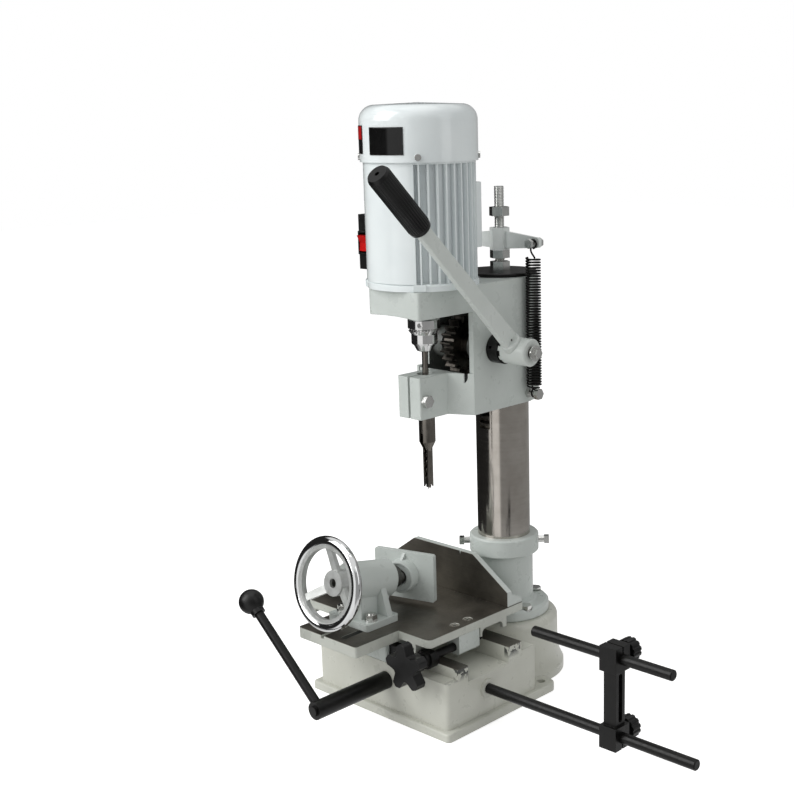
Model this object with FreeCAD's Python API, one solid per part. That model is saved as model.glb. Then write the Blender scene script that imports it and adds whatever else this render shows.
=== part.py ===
"""Benchtop hollow-chisel mortiser, drawn about its column axis.

Millimetres. X runs to the operator's right, Y away from the operator, Z up.
The origin is on the column axis at the underside of the base.
Every piece is a solid of its own, written to parts/ under its own name.
"""
import FreeCAD, Part
import math
import os

V = FreeCAD.Vector
X_AXIS = V(1, 0, 0)
Y_AXIS = V(0, 1, 0)
Z_AXIS = V(0, 0, 1)

# ---- Driving dimensions ------------------------------------------------------------

FIT = 0.05            # radial clearance of a running fit
GAP = 0.3             # clearance between bodies that only pass each other

# base casting
BASE_X = (-128.0, 91.0)
BASE_Y = (-200.0, -50.0)
FLANGE_OUT = 7.0      # how far the foot flange stands out of the walls
FLANGE_T = 10.0
EAR_BACK_Y = -14.0
BASE_WALL = 8.0
DECK_Z = 59.0
FRONT_LEDGE_Z = 66.0
WAY_Z = 79.0          # top of both slideways
FRONT_WAY_Y = (-183.0, -166.0)
REAR_WAY_Y = (-97.0, -74.0)
REAR_LEDGE_Z = 67.0
BOLT_HOLE_R = 5.0
EAR_HOLE_X = (-120.0, 83.0)
EAR_HOLE_Y = -29.0
DRUM_R = 66.0
DRUM_FOOT_R = 73.5
DRUM_TOP_Z = 77.0

# column and its socket
COLUMN_R = 32.5
COLUMN_WALL = 7.0
COLUMN_TOP_Z = 500.5
SOCKET_FLANGE_R = 55.0
SOCKET_FLANGE_T = 14.0
SOCKET_TUBE_R = 35.5
COLLAR_R = 43.0
COLLAR_Z = (155.0, 178.0)
SPIGOT_R = 28.0
SOCKET_BOLT_R = 46.5
SOCKET_BOLT_ANGLES = (-15.0, 75.0, 165.0, 255.0)

# head casting
HEAD_Z = (351.0, 500.0)
HEAD_RIGHT_X = 47.0
HEAD_LEFT_X = -45.0
HEAD_WALL = 7.0
PLATE_BOTTOM_Z = 470.0
PLATE_FRONT_Y = -184.0
WALL_FRONT_Y = -99.0
LIP_Z = 399.0
SPINDLE_Y = -130.0
HOLDER_HALF_X = 18.0
HOLDER_FRONT_Y = -157.0
HOLDER_BACK_Y = -113.0
BARREL_R = 45.0
BARREL_SCREW_X = -16.5
BARREL_SCREW_Z = (416.0, 438.0)

# rack, pinion and lever
MODULE = 3.0
PINION_TEETH = 22
PINION_R = MODULE * PINION_TEETH / 2
RACK_PITCH_Y = -29.0
PINION_Y = RACK_PITCH_Y - PINION_R
PINION_Z = 424.0
PINION_X = (-7.7, 7.7)
SHAFT_R = 10.0
LEVER_X = 80.0
LEVER_ANGLE = 45.0    # from the horizontal, towards the operator
BOSS_END_X = 63.5
HUB_R = 15.8
HUB_X = (66.8, 102.0)
HUB_WASHER_X = (105.6, 107.6)
GRIP_R = 12.5
GRIP_SPAN = (207.0, 292.0)

# motor
MOTOR_Z = 500.0
MOTOR_BODY_R = 62.0
MOTOR_CORE_R = 56.5
MOTOR_BORE_R = 50.0
SHIELD_T = 8.0
COVER_R = 65.0
COVER_Z = (637.0, 699.5)
COVER_SCREW_Z = 642.5
COVER_WALL = 1.8
FIN_STEP_DEG = 9.5

# chuck, bit and hollow chisel
CHISEL_TIP_Z = 265.5
CHISEL_WIDTH = 8.0
CHISEL_BORE_R = 3.2
CHISEL_NECK_Z = (308.5, 319.5)
BUSHING_R = 9.5
BIT_R = 3.6

# stroke stop above the column
CAP_R = 43.5
CAP_Z = (500.5, 504.5)
ROD_R = 6.0
ROD_TOP_Z = 603.0
BRACKET_Z = (528.5, 555.0)
SPRING_X = 57.0
SPRING_Y = -6.0
SPRING_R = 9.2
SPRING_Z = (370.5, 522.5)
SPRING_BOLT_Z = 362.0

# saddle, table and fence
SADDLE_X = (-105.0, -8.0)
SADDLE_TOP_Z = 90.0
DOVETAIL_TOP_X = (-82.0, -31.0)
DOVETAIL_SLOPE = 5.0  # how far each flank leans over its height
DOVETAIL_Y = (-184.0, -64.0)
TABLE_TOP_Z = 110.0
TABLE_T = 10.0
TABLE_X = (-150.0, 61.0)
TABLE_Y = (-197.0, -46.0)
WING_X = (-87.0, 11.0)
WING_FRONT_Y = -263.0
WING_T = 13.0
FENCE_Y = (-63.0, -55.0)
FENCE_TOP_Z = 165.0
FENCE_SHOULDER_Z = 128.0
FENCE_TOP_X = (-97.0, 4.0)

# screws that move the slides
CRANK_X = -9.3
CRANK_Z = 44.2
CRANK_R = 10.5
RACK_MODULE = 1.5
CRANK_TEETH = 16
CRANK_PITCH_R = RACK_MODULE * CRANK_TEETH / 2
CRANK_ARM_Y = -301.0
BALL_AT = (-123.0, CRANK_ARM_Y, 143.0)
BALL_R = 14.5
CRANK_ARM_R = 5.5
STAR_X = 50.8
STAR_Z = 84.6
STAR_Y = -222.0
STAR_SCREW_R = 5.0
STAR_JOURNAL_R = 4.0
BRACKET_Y = (-194.5, FRONT_WAY_Y[0] - 0.4)

# work clamp
CLAMP_X = -45.0
CLAMP_TILT = 11.0     # the screw points down towards the fence
WHEEL_AT = V(CLAMP_X, -252.0, 169.0)
WHEEL_R = 49.0
RIM_R = 6.0
CLAMP_SCREW_R = 7.5
WHEEL_HUB_S = (8.0, 27.0)
HOUSING_R = 22.5
HOUSING_S = (32.0, 91.0)
CLAMP_BOLT_Y = -209.0
PAD_AT_S = 118.0
PAD_SWIVEL = 15.0
NOSE_R = 13.5
NOSE_S = (54.0, 107.5)
SCREW_S = (12.0, 96.0)
PAD_SIZE = (82.0, 6.0)
PAD_Z = (-30.8, 28.8)

# work stop
STOP_Y = -135.0
STOP_R = 6.0
STOP_LOW_Z = 41.0
STOP_HIGH_Z = 130.0
STOP_LOW_X = (40.0, 379.0)
STOP_HIGH_X = (163.0, 349.0)
LINK_X = 274.0
KNOB_R = 13.0


# ---- Small helpers -----------------------------------------------------------------

def block(x, y, z):
    """A box between two values on each axis."""
    return Part.makeBox(x[1] - x[0], y[1] - y[0], z[1] - z[0], V(x[0], y[0], z[0]))


def rod(radius, start, end):
    """A cylinder from one point to another."""
    start, end = V(*start), V(*end)
    return Part.makeCylinder(radius, start.distanceToPoint(end), start, end - start)


def cone(r1, r2, start, end):
    start, end = V(*start), V(*end)
    return Part.makeCone(r1, r2, start.distanceToPoint(end), start, end - start)


def prism(points, direction):
    """A flat polygon pushed along a vector."""
    points = [V(*p) for p in points]
    return Part.Face(Part.makePolygon(points + points[:1])).extrude(direction)


def turned(profile, centre=(0, 0), angle=360):
    """A profile of (radius, z) points turned about a vertical axis."""
    points = [V(r, 0, z) for r, z in profile]
    face = Part.Face(Part.makePolygon(points + points[:1]))
    solid = face.revolve(V(0, 0, 0), Z_AXIS, angle)
    solid.translate(V(centre[0], centre[1], 0))
    return solid


def hexagon(across, start, end):
    """A hexagonal prism between two points on its axis."""
    start, end = V(*start), V(*end)
    axis = end - start
    corner = across / math.sqrt(3)
    ring = [V(corner * math.cos(math.radians(a)), corner * math.sin(math.radians(a)), 0)
            for a in range(30, 390, 60)]
    solid = Part.Face(Part.makePolygon(ring + ring[:1])).extrude(V(0, 0, axis.Length))
    solid.Placement = FreeCAD.Placement(start, FreeCAD.Rotation(Z_AXIS, axis))
    return solid


def join(first, *others):
    return first.fuse(list(others)).removeSplitter()


def cut(first, *others):
    return first.cut(list(others))


def group(*solids):
    return Part.makeCompound(list(solids))


def rounded(shape, radius, choose):
    """Fillet the edges that choose accepts, told their middle point and direction."""
    edges = []
    for edge in shape.Edges:
        if isinstance(edge.Curve, Part.Line):
            middle = edge.CenterOfMass
            if choose(middle, edge.Curve.Direction):
                edges.append(edge)
    return shape.makeFillet(radius, edges)


def upright(direction):
    return abs(direction.z) > 0.99


def turn(shape, centre, axis, degrees):
    copy = shape.copy()
    copy.rotate(V(*centre), axis, degrees)
    return copy


def on_clamp_axis(s):
    """The point s millimetres along the clamp screw from the handwheel."""
    tilt = math.radians(CLAMP_TILT)
    return WHEEL_AT + V(0, math.cos(tilt), -math.sin(tilt)) * s


def along_clamp(shape):
    """Move a shape drawn along +Y from the origin onto the clamp screw's axis."""
    copy = shape.copy()
    copy.rotate(V(0, 0, 0), X_AXIS, -CLAMP_TILT)
    copy.translate(WHEEL_AT)
    return copy


# ---- Base --------------------------------------------------------------------------

def base_flange():
    """Foot flange with two rear ears, round corners and the column drum's foot."""
    x = (BASE_X[0] - FLANGE_OUT, BASE_X[1] + FLANGE_OUT)
    y = (BASE_Y[0] - FLANGE_OUT, EAR_BACK_Y)
    plate = block(x, y, (0, FLANGE_T))
    plate = rounded(plate, 13, lambda m, d: upright(d) and m.y > -50)
    plate = rounded(plate, 5, lambda m, d: upright(d) and m.y < -190)
    top = plate.BoundBox.ZMax
    rim = [e for e in plate.Edges if e.BoundBox.ZMin > top - 0.1]
    return plate.makeFillet(2.5, rim)


def column_drum():
    """Round foot under the column: rounded shoulder, upright wall, flared skirt."""
    points = [V(0, 0, 0), V(DRUM_FOOT_R, 0, 0), V(DRUM_FOOT_R, 0, 10)]
    shoulder = 9.0
    skirt = Part.Arc(points[2], V(DRUM_R + 2.2, 0, 22), V(DRUM_R, 0, 38)).toShape()
    wall = Part.makeLine(V(DRUM_R, 0, 38), V(DRUM_R, 0, DRUM_TOP_Z - shoulder))
    bend = shoulder * (1 - math.cos(math.radians(45)))
    crown = Part.Arc(V(DRUM_R, 0, DRUM_TOP_Z - shoulder),
                     V(DRUM_R - bend, 0, DRUM_TOP_Z - bend),
                     V(DRUM_R - shoulder, 0, DRUM_TOP_Z)).toShape()
    top = Part.makePolygon([V(DRUM_R - shoulder, 0, DRUM_TOP_Z), V(0, 0, DRUM_TOP_Z), points[0]])
    foot = Part.makePolygon(points)
    wire = Part.Wire([*foot.Edges, skirt, wall, crown, *top.Edges])
    return Part.Face(wire).revolve(V(0, 0, 0), Z_AXIS, 360)


def base_casting():
    """Hollow cast base: walls, deck, two slideways, drum, ears and underside ribs."""
    walls = block(BASE_X, BASE_Y, (0, DECK_Z))
    walls = rounded(walls, 6, lambda m, d: upright(d) and m.y < -190)
    front_wall = block(BASE_X, (BASE_Y[0], FRONT_WAY_Y[0]), (DECK_Z, FRONT_LEDGE_Z))
    front_wall = rounded(front_wall, 6, lambda m, d: upright(d) and m.y < -190)
    front_way = block(BASE_X, FRONT_WAY_Y, (DECK_Z, WAY_Z))
    rear_way = block(BASE_X, REAR_WAY_Y, (DECK_Z, WAY_Z))
    rear_ledge = block(BASE_X, (REAR_WAY_Y[1] - 1, BASE_Y[1]), (DECK_Z, REAR_LEDGE_Z))
    solid = join(base_flange(), walls, front_wall, front_way, rear_way, rear_ledge, column_drum())
    socket_room = rod(SOCKET_FLANGE_R + 0.5, (0, 0, DRUM_TOP_Z), (0, 0, 120))
    hollow = block((BASE_X[0] + BASE_WALL, BASE_X[1] - BASE_WALL),
                   (BASE_Y[0] + BASE_WALL, -66.0), (-1, DECK_Z - 9))
    hollow = rounded(hollow, 8, lambda m, d: upright(d))
    drum_hollow = turned([(SPIGOT_R + 8, -1), (DRUM_R - 8, -1), (DRUM_R - 8, 58), (SPIGOT_R + 8, 64)])
    behind_box = block((-80, 80), (-58, 80), (-2, 70))
    drum_hollow = drum_hollow.common(behind_box)
    core_hollow = turned([(14, -1), (SPIGOT_R, -1), (SPIGOT_R, 56), (14, 60)])
    way_hollow = block((BASE_X[0] + BASE_WALL, BASE_X[1] - BASE_WALL),
                       (REAR_WAY_Y[0] + 7, REAR_WAY_Y[1] - 7), (DECK_Z - 10, WAY_Z - 9))
    rack_trough = block((-85.0, 65.0), (-163.0, -141.0), (DECK_Z - 12, DECK_Z + 1))
    ear_holes = [rod(BOLT_HOLE_R, (x, EAR_HOLE_Y, -1), (x, EAR_HOLE_Y, 20)) for x in EAR_HOLE_X]
    crank_hole = rod(CRANK_R + FIT, (CRANK_X, BASE_Y[0] - 1, CRANK_Z), (CRANK_X, -191, CRANK_Z))
    solid = cut(solid, socket_room, hollow, drum_hollow, core_hollow, way_hollow, rack_trough,
                *ear_holes, crank_hole)
    ribs = [block((x - 3, x + 3), (-192.5, -65.5), (20, DECK_Z - 8.5)) for x in (-70.0, 40.0)]
    ribs += [turn(block((13, 59), (-2.5, 2.5), (12, 62)), (0, 0, 0), Z_AXIS, a) for a in range(30, 390, 60)]
    boss = rod(11, (30, STOP_Y, STOP_LOW_Z), (BASE_X[1] + 2.5, STOP_Y, STOP_LOW_Z))
    shaft_web = block((CRANK_X - 19, CRANK_X + 19), (-139.0, -127.0), (24, DECK_Z - 8.5))
    solid = join(solid, *ribs, boss, shaft_web)
    stop_bore = rod(STOP_R, (STOP_LOW_X[0], STOP_Y, STOP_LOW_Z), (BASE_X[1] + 5, STOP_Y, STOP_LOW_Z))
    web_bore = rod(CRANK_R - 2.5 + FIT, (CRANK_X, -150, CRANK_Z), (CRANK_X, -120, CRANK_Z))
    pinion_room = rod(CRANK_PITCH_R + 3.5, (CRANK_X, -164, CRANK_Z), (CRANK_X, -139.5, CRANK_Z))
    shaft_room = rod(CRANK_R + 2, (CRANK_X, -192.5, CRANK_Z), (CRANK_X, -163, CRANK_Z))
    socket_bolts = [rod(4, (*polar(SOCKET_BOLT_R, a), 50), (*polar(SOCKET_BOLT_R, a), 90))
                    for a in SOCKET_BOLT_ANGLES]
    return cut(solid, stop_bore, web_bore, pinion_room, shaft_room, *socket_bolts)


def polar(radius, degrees):
    angle = math.radians(degrees)
    return radius * math.cos(angle), radius * math.sin(angle)


# ---- Column ------------------------------------------------------------------------

def column_socket():
    """Flanged tube bolted on the drum, with a thick clamping collar at its mouth."""
    z0 = DRUM_TOP_Z
    z1 = z0 + SOCKET_FLANGE_T
    body = turned([(SPIGOT_R, z0), (SOCKET_FLANGE_R - 1.5, z0), (SOCKET_FLANGE_R, z0 + 1.5),
                   (SOCKET_FLANGE_R, z1 - 3), (SOCKET_FLANGE_R - 3, z1), (SOCKET_TUBE_R + 5, z1),
                   (SOCKET_TUBE_R + 1.5, z1 + 1.5), (SOCKET_TUBE_R, z1 + 6),
                   (SOCKET_TUBE_R, COLLAR_Z[0] - 2), (COLLAR_R - 1.5, COLLAR_Z[0]),
                   (COLLAR_R, COLLAR_Z[0] + 1.5), (COLLAR_R, COLLAR_Z[1] - 2),
                   (COLLAR_R - 2, COLLAR_Z[1]), (COLUMN_R, COLLAR_Z[1]),
                   (COLUMN_R, COLLAR_Z[0] + 3), (SPIGOT_R, COLLAR_Z[0] + 3)])
    holes = []
    for angle in SOCKET_BOLT_ANGLES:
        x, y = polar(SOCKET_BOLT_R, angle)
        holes.append(rod(4, (x, y, z0 - 1), (x, y, z1 + 1)))
        holes.append(rod(8.2, (x, y, z1 - 3.5), (x, y, z1 + 12)))
    for angle in (-138.0, 42.0):
        x, y = polar(60, angle)
        holes.append(rod(4, (x, y, 167), (0, 0, 167)))
    return cut(body, *holes)


def socket_bolts():
    """Hexagon bolts with washers that hold the socket down, and the collar's set screws."""
    seat = DRUM_TOP_Z + SOCKET_FLANGE_T - 3.5
    bolts = []
    for angle in SOCKET_BOLT_ANGLES:
        x, y = polar(SOCKET_BOLT_R, angle)
        bolts.append(join(rod(4, (x, y, 52), (x, y, seat)),
                          rod(8, (x, y, seat), (x, y, seat + 1.6)),
                          hexagon(13, (x, y, seat + 1.6), (x, y, seat + 7))))
    return group(*bolts, *set_screws())


def set_screws():
    """Square-headed screws that lock the column in the collar."""
    screws = []
    for angle in (-138.0, 42.0):
        tip, root, end = polar(COLUMN_R, angle), polar(50.5, angle), polar(56, angle)
        shank = rod(4, (*tip, 167), (*root, 167))
        head = block((50, 56), (-4.5, 4.5), (162.5, 171.5))
        screws.append(join(shank, turn(head, (0, 0, 0), Z_AXIS, angle)))
    return screws


def rack_profile(module, count, face_depth):
    """Outline of straight-sided rack teeth as (along, height) points, pitch line at 0."""
    pitch = math.pi * module
    slope = math.tan(math.radians(20))
    points = []
    for i in range(count):
        middle = (i - (count - 1) / 2) * pitch
        half = pitch / 4
        points += [(middle - half - 1.2 * module * slope, -1.2 * module),
                   (middle - half + module * slope, module),
                   (middle + half - module * slope, module),
                   (middle + half + 1.2 * module * slope, -1.2 * module)]
    end = count * pitch / 2
    return [(-end, -face_depth), (-end, -1.2 * module)] + points + \
           [(end, -1.2 * module), (end, -face_depth)]


RACK_COUNT = 16
RACK_MIDDLE_Z = PINION_Z + math.pi * MODULE * 0.5 - 4 * math.pi * MODULE


def column_rack():
    """Steel rack let into the front of the column, its tooth tips just under the surface."""
    outline = rack_profile(MODULE, RACK_COUNT, 6.5)
    points = [(-8, RACK_PITCH_Y - h, RACK_MIDDLE_Z + a) for a, h in outline]
    return prism(points, V(16, 0, 0)).common(rod(COLUMN_R - 0.1, (0, 0, 300), (0, 0, 480)))


def column():
    """Ground steel tube, turned down where it sits in the socket, slotted for the rack."""
    foot = DRUM_TOP_Z + 0.5
    inner = COLUMN_R - COLUMN_WALL - 4
    body = turned([(inner, foot), (SPIGOT_R - 1, foot), (SPIGOT_R, foot + 1),
                   (SPIGOT_R, COLLAR_Z[0] + 3), (COLUMN_R, COLLAR_Z[0] + 3),
                   (COLUMN_R, COLUMN_TOP_Z), (COLUMN_R - COLUMN_WALL, COLUMN_TOP_Z),
                   (COLUMN_R - COLUMN_WALL, 480), (inner, 480)])
    half = RACK_COUNT * math.pi * MODULE / 2
    slot = block((-8, 8), (-COLUMN_R - 1, RACK_PITCH_Y + 6.5),
                 (RACK_MIDDLE_Z - half, RACK_MIDDLE_Z + half))
    return cut(body, slot)


def column_cap():
    """Black disc with a plug that fills the column's mouth; the head stops under its rim."""
    low, high = CAP_Z
    inner = COLUMN_R - COLUMN_WALL
    return turned([(ROD_R, 480), (inner, 480), (inner, low), (CAP_R - 1, low), (CAP_R, low + 1),
                   (CAP_R, high - 1), (CAP_R - 1, high), (ROD_R, high)])


def stroke_rod():
    top = ROD_TOP_Z
    return turned([(0, 484), (ROD_R, 484), (ROD_R, top - 1.5), (ROD_R - 1.5, top), (0, top)])


def bracket_nuts():
    """Nuts on the stroke rod: on the cap, under the bracket's sleeve, and the top stop."""
    nuts = []
    for low, high in ((CAP_Z[1], 515.0), (519.0, BRACKET_Z[0]), (568.5, 579.0)):
        nuts.append(cut(hexagon(21, (0, 0, low), (0, 0, high)),
                        rod(ROD_R, (0, 0, low - 1), (0, 0, high + 1))))
    return group(*nuts, *spring_pins())


def spring_bracket():
    """Sleeve on the rod with a flat bar welded across it for the two springs."""
    low, high = BRACKET_Z
    sleeve = hexagon(21, (0, 0, low), (0, 0, high))
    bar = prism([(-SPRING_X - 6, -2.5, 534), (-SPRING_X - 6, -2.5, 545), (-12, -2.5, 550.5),
                 (12, -2.5, 550.5), (SPRING_X + 6, -2.5, 545), (SPRING_X + 6, -2.5, 534),
                 (12, -2.5, 530.5), (-12, -2.5, 530.5)], V(0, 5, 0))
    bar = bar.makeFillet(4, [e for e in bar.Edges if abs(e.Curve.Direction.y) > 0.9
                             and abs(e.CenterOfMass.x) > SPRING_X])
    holes = [rod(3, (s * SPRING_X, -5, 539.5), (s * SPRING_X, 5, 539.5)) for s in (-1, 1)]
    return cut(join(sleeve, bar), rod(ROD_R, (0, 0, low - 1), (0, 0, high + 1)), *holes)


def spring_pins():
    """Bolts with nuts through the bracket's ends that the springs hang on."""
    pins = []
    for s in (-1, 1):
        x = s * SPRING_X
        pins.append(join(rod(3, (x, -11, 539.5), (x, 9, 539.5)),
                         hexagon(10, (x, -15, 539.5), (x, -11, 539.5)),
                         hexagon(10, (x, 2.5, 539.5), (x, 7, 539.5))))
    return pins


def return_springs():
    """The two springs that balance the head's weight."""
    return group(spring(-1), spring(1))


def spring(side):
    """One spring as its outer sleeve, with a hook at each end."""
    x, y = side * SPRING_X, SPRING_Y
    low, high = SPRING_Z
    sleeve = turned([(SPRING_R - 2, low), (SPRING_R, low), (SPRING_R, high), (SPRING_R - 2, high)], (x, y))
    caps = [turned([(0, z), (SPRING_R - 1, z), (SPRING_R - 1, z + 2), (0, z + 2)], (x, y))
            for z in (low, high - 2)]
    eye = Part.makeTorus(5.0, 1.0, V(x, y, 539.5 - 1.0), Y_AXIS)
    stem = rod(1.0, (x, y, high - 1), (x, y, 539.5 - 5.5))
    foot_eye = Part.makeTorus(5.0, 1.0, V(x, y, SPRING_BOLT_Z + 1.0), X_AXIS)
    foot_stem = rod(1.0, (x, y, SPRING_BOLT_Z + 5.5), (x, y, low + 1))
    return join(sleeve, *caps, stem, eye, foot_stem, foot_eye)


def spring_foot_bolts():
    """Hexagon bolts in the head's flanks that the springs pull on."""
    bolts = []
    for s, face in ((1, HEAD_RIGHT_X), (-1, -HEAD_LEFT_X)):
        y = SPRING_Y
        bolts.append(join(rod(3, (s * (face - 7), y, SPRING_BOLT_Z), (s * 61, y, SPRING_BOLT_Z)),
                          hexagon(10, (s * face, y, SPRING_BOLT_Z), (s * (face + 4.5), y, SPRING_BOLT_Z)),
                          hexagon(12, (s * 60.5, y, SPRING_BOLT_Z), (s * 66, y, SPRING_BOLT_Z))))
    return bolts


# ---- Head --------------------------------------------------------------------------

def head_outline(z, left_front, right_front):
    """Plan of the head's upper box, from the motor seat back to the barrel."""
    return prism([(HEAD_LEFT_X, left_front, z), (HEAD_RIGHT_X, right_front, z),
                  (HEAD_RIGHT_X, 0, z), (HEAD_LEFT_X, 0, z)], V(0, 0, 1))


def motor_plate():
    """Thick seat for the motor, hollow below, with a broad curve at its left front."""
    plate = block((HEAD_LEFT_X, HEAD_RIGHT_X), (PLATE_FRONT_Y, 0), (PLATE_BOTTOM_Z, HEAD_Z[1]))
    plate = rounded(plate, 24, lambda m, d: upright(d) and m.y < -180 and m.x < 0)
    plate = rounded(plate, 4, lambda m, d: upright(d) and m.y < -180 and m.x > 0)
    pocket = block((HEAD_LEFT_X + 7, HEAD_RIGHT_X - 7), (PLATE_FRONT_Y + 8, -92.0),
                   (PLATE_BOTTOM_Z - 1, HEAD_Z[1] - 12))
    pocket = rounded(pocket, 16, lambda m, d: upright(d))
    arch = rod(420, (1, PLATE_FRONT_Y - 5, PLATE_BOTTOM_Z - 418), (1, PLATE_FRONT_Y + 9, PLATE_BOTTOM_Z - 418))
    return cut(plate, pocket, arch)


def chisel_holder():
    """Nose of the head: split block for the chisel, splayed back to the full width."""
    low, high = HEAD_Z[0], LIP_Z
    return prism([(-HOLDER_HALF_X, HOLDER_FRONT_Y, low), (HOLDER_HALF_X, HOLDER_FRONT_Y, low),
                  (HOLDER_HALF_X, HOLDER_BACK_Y, low), (HEAD_RIGHT_X, WALL_FRONT_Y, low),
                  (HEAD_RIGHT_X, 0, low), (HEAD_LEFT_X, 0, low), (HEAD_LEFT_X, WALL_FRONT_Y, low),
                  (-HOLDER_HALF_X, HOLDER_BACK_Y, low)], V(0, 0, high - low))


def head_casting():
    """Head: motor seat, two cheeks round the pinion, column barrel and chisel nose."""
    low, high = HEAD_Z
    cheeks = [block((HEAD_RIGHT_X - HEAD_WALL, HEAD_RIGHT_X), (WALL_FRONT_Y, 0), (low, high)),
              block((HEAD_LEFT_X, HEAD_LEFT_X + HEAD_WALL), (WALL_FRONT_Y + 14, 0), (low, high))]
    barrel = rod(BARREL_R, (0, 0, low), (0, 0, high))
    barrel_front = block((HEAD_LEFT_X, HEAD_RIGHT_X), (-46, 0), (low, high))
    bearing_boss = rod(19, (HEAD_LEFT_X, PINION_Y, PINION_Z), (HEAD_RIGHT_X, PINION_Y, PINION_Z))
    gear_room = block((HEAD_LEFT_X + HEAD_WALL, HEAD_RIGHT_X - HEAD_WALL), (-104, -46), (386, PLATE_BOTTOM_Z))
    gear_room = rounded(gear_room, 9, lambda m, d: abs(d.y) > 0.99)
    solid = join(motor_plate(), chisel_holder(), *cheeks, barrel, barrel_front)
    solid = cut(solid, gear_room)
    inner = block((-21.0, 19.0), (-120, -40), (388, 466))
    solid = join(solid, cut(bearing_boss, inner))
    bore = rod(COLUMN_R + FIT, (0, 0, low - 1), (0, 0, high + 1))
    pinion_window = block((-9.5, 9.5), (-50, -20), (PINION_Z - 33, PINION_Z + 33))
    shaft_bore = rod(SHAFT_R + 3, (HEAD_LEFT_X - 5, PINION_Y, PINION_Z), (HEAD_RIGHT_X + 5, PINION_Y, PINION_Z))
    chisel_bore = rod(BUSHING_R, (0, SPINDLE_Y, low - 1), (0, SPINDLE_Y, LIP_Z + 1))
    split = block((-1.6, 1.6), (HOLDER_FRONT_Y - 1, SPINDLE_Y), (low - 1, LIP_Z + 1))
    shaft_way = rod(26, (0, SPINDLE_Y, 460), (0, SPINDLE_Y, high + 1))
    pinch = rod(4, (-30, -149, 372), (30, -149, 372))
    feet = [rod(2.6, (x, y, 480), (x, y, high + 1)) for x, y in MOTOR_BOLTS]
    screws = [rod(3, (BARREL_SCREW_X, -60, z), (BARREL_SCREW_X, -30, z)) for z in BARREL_SCREW_Z]
    spring_holes = [rod(3, (s * 38, SPRING_Y, SPRING_BOLT_Z), (s * 50, SPRING_Y, SPRING_BOLT_Z)) for s in (-1, 1)]
    solid = cut(solid, bore, pinion_window, shaft_bore, chisel_bore, split, shaft_way, pinch,
                *feet, *screws, *spring_holes)
    return rounded(solid, 2, lambda m, d: upright(d) and abs(abs(m.x) - HOLDER_HALF_X) < 0.1
                   and m.y < HOLDER_FRONT_Y + 1)


MOTOR_BOLTS = [(s * 30.4, SPINDLE_Y + t * 30.4) for s in (-1, 1) for t in (-1, 1)]


def motor_bolts():
    """Cap screws through the lower end shield into the motor seat."""
    bolts = []
    for x, y in MOTOR_BOLTS:
        bolts.append(join(rod(2.6, (x, y, 488), (x, y, MOTOR_Z + SHIELD_T)),
                          rod(4.5, (x, y, MOTOR_Z + SHIELD_T), (x, y, MOTOR_Z + SHIELD_T + 5))))
    return bolts


def barrel_screws():
    """Screws in the barrel's front that take up play on the column."""
    screws = []
    x = BARREL_SCREW_X
    for z in BARREL_SCREW_Z:
        screws.append(join(rod(3, (x, -46, z), (x, -31, z)), rod(4.5, (x, -50, z), (x, -46, z))))
    return screws


def chisel_clamp_bolt():
    """Bolt across the split nose that grips the chisel's bushing."""
    y, z = -149, 372
    return join(rod(4, (-17.5, y, z), (22, y, z)), hexagon(13, (HOLDER_HALF_X, y, z), (24.5, y, z)))


def head_screws():
    """Every screw of the head: chisel clamp bolt, barrel screws, spring foot bolts."""
    return group(chisel_clamp_bolt(), *barrel_screws(), *spring_foot_bolts())


def hollow_chisel():
    """Square hollow chisel: round bushing, taper, long front slot and four hollow-ground points."""
    half, tip = CHISEL_WIDTH / 2, CHISEL_TIP_Z
    low, high = CHISEL_NECK_Z
    x, y = 0, SPINDLE_Y
    bushing = rod(BUSHING_R, (x, y, high), (x, y, 388))
    neck = cone(half * 1.02, BUSHING_R, (x, y, low), (x, y, high))
    shank = block((x - half, x + half), (y - half, y + half), (tip, high - 3))
    solid = join(bushing, neck, shank)
    bore = rod(CHISEL_BORE_R, (x, y, tip - 1), (x, y, 390))
    wide_bore = rod(BIT_R + 0.8, (x, y, high - 4), (x, y, 390))
    mouth = cone(half * 1.25, CHISEL_BORE_R, (x, y, tip - 2), (x, y, tip + 5))
    notches = []
    for a in (0, 90):
        vee = prism([(1.2 - half, -10, tip - 1), (half - 1.2, -10, tip - 1), (0, -10, tip + 3.5)], V(0, 20, 0))
        vee.translate(V(x, y, 0))
        notches.append(turn(vee, (x, y, 0), Z_AXIS, a))
    slot = join(block((-2.2, 2.2), (y - 12, y), (278.7, 330)), rod(2.2, (x, y - 12, 278.7), (x, y, 278.7)))
    return cut(solid, bore, wide_bore, mouth, slot, *notches)


# ---- Motor -------------------------------------------------------------------------

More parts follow.
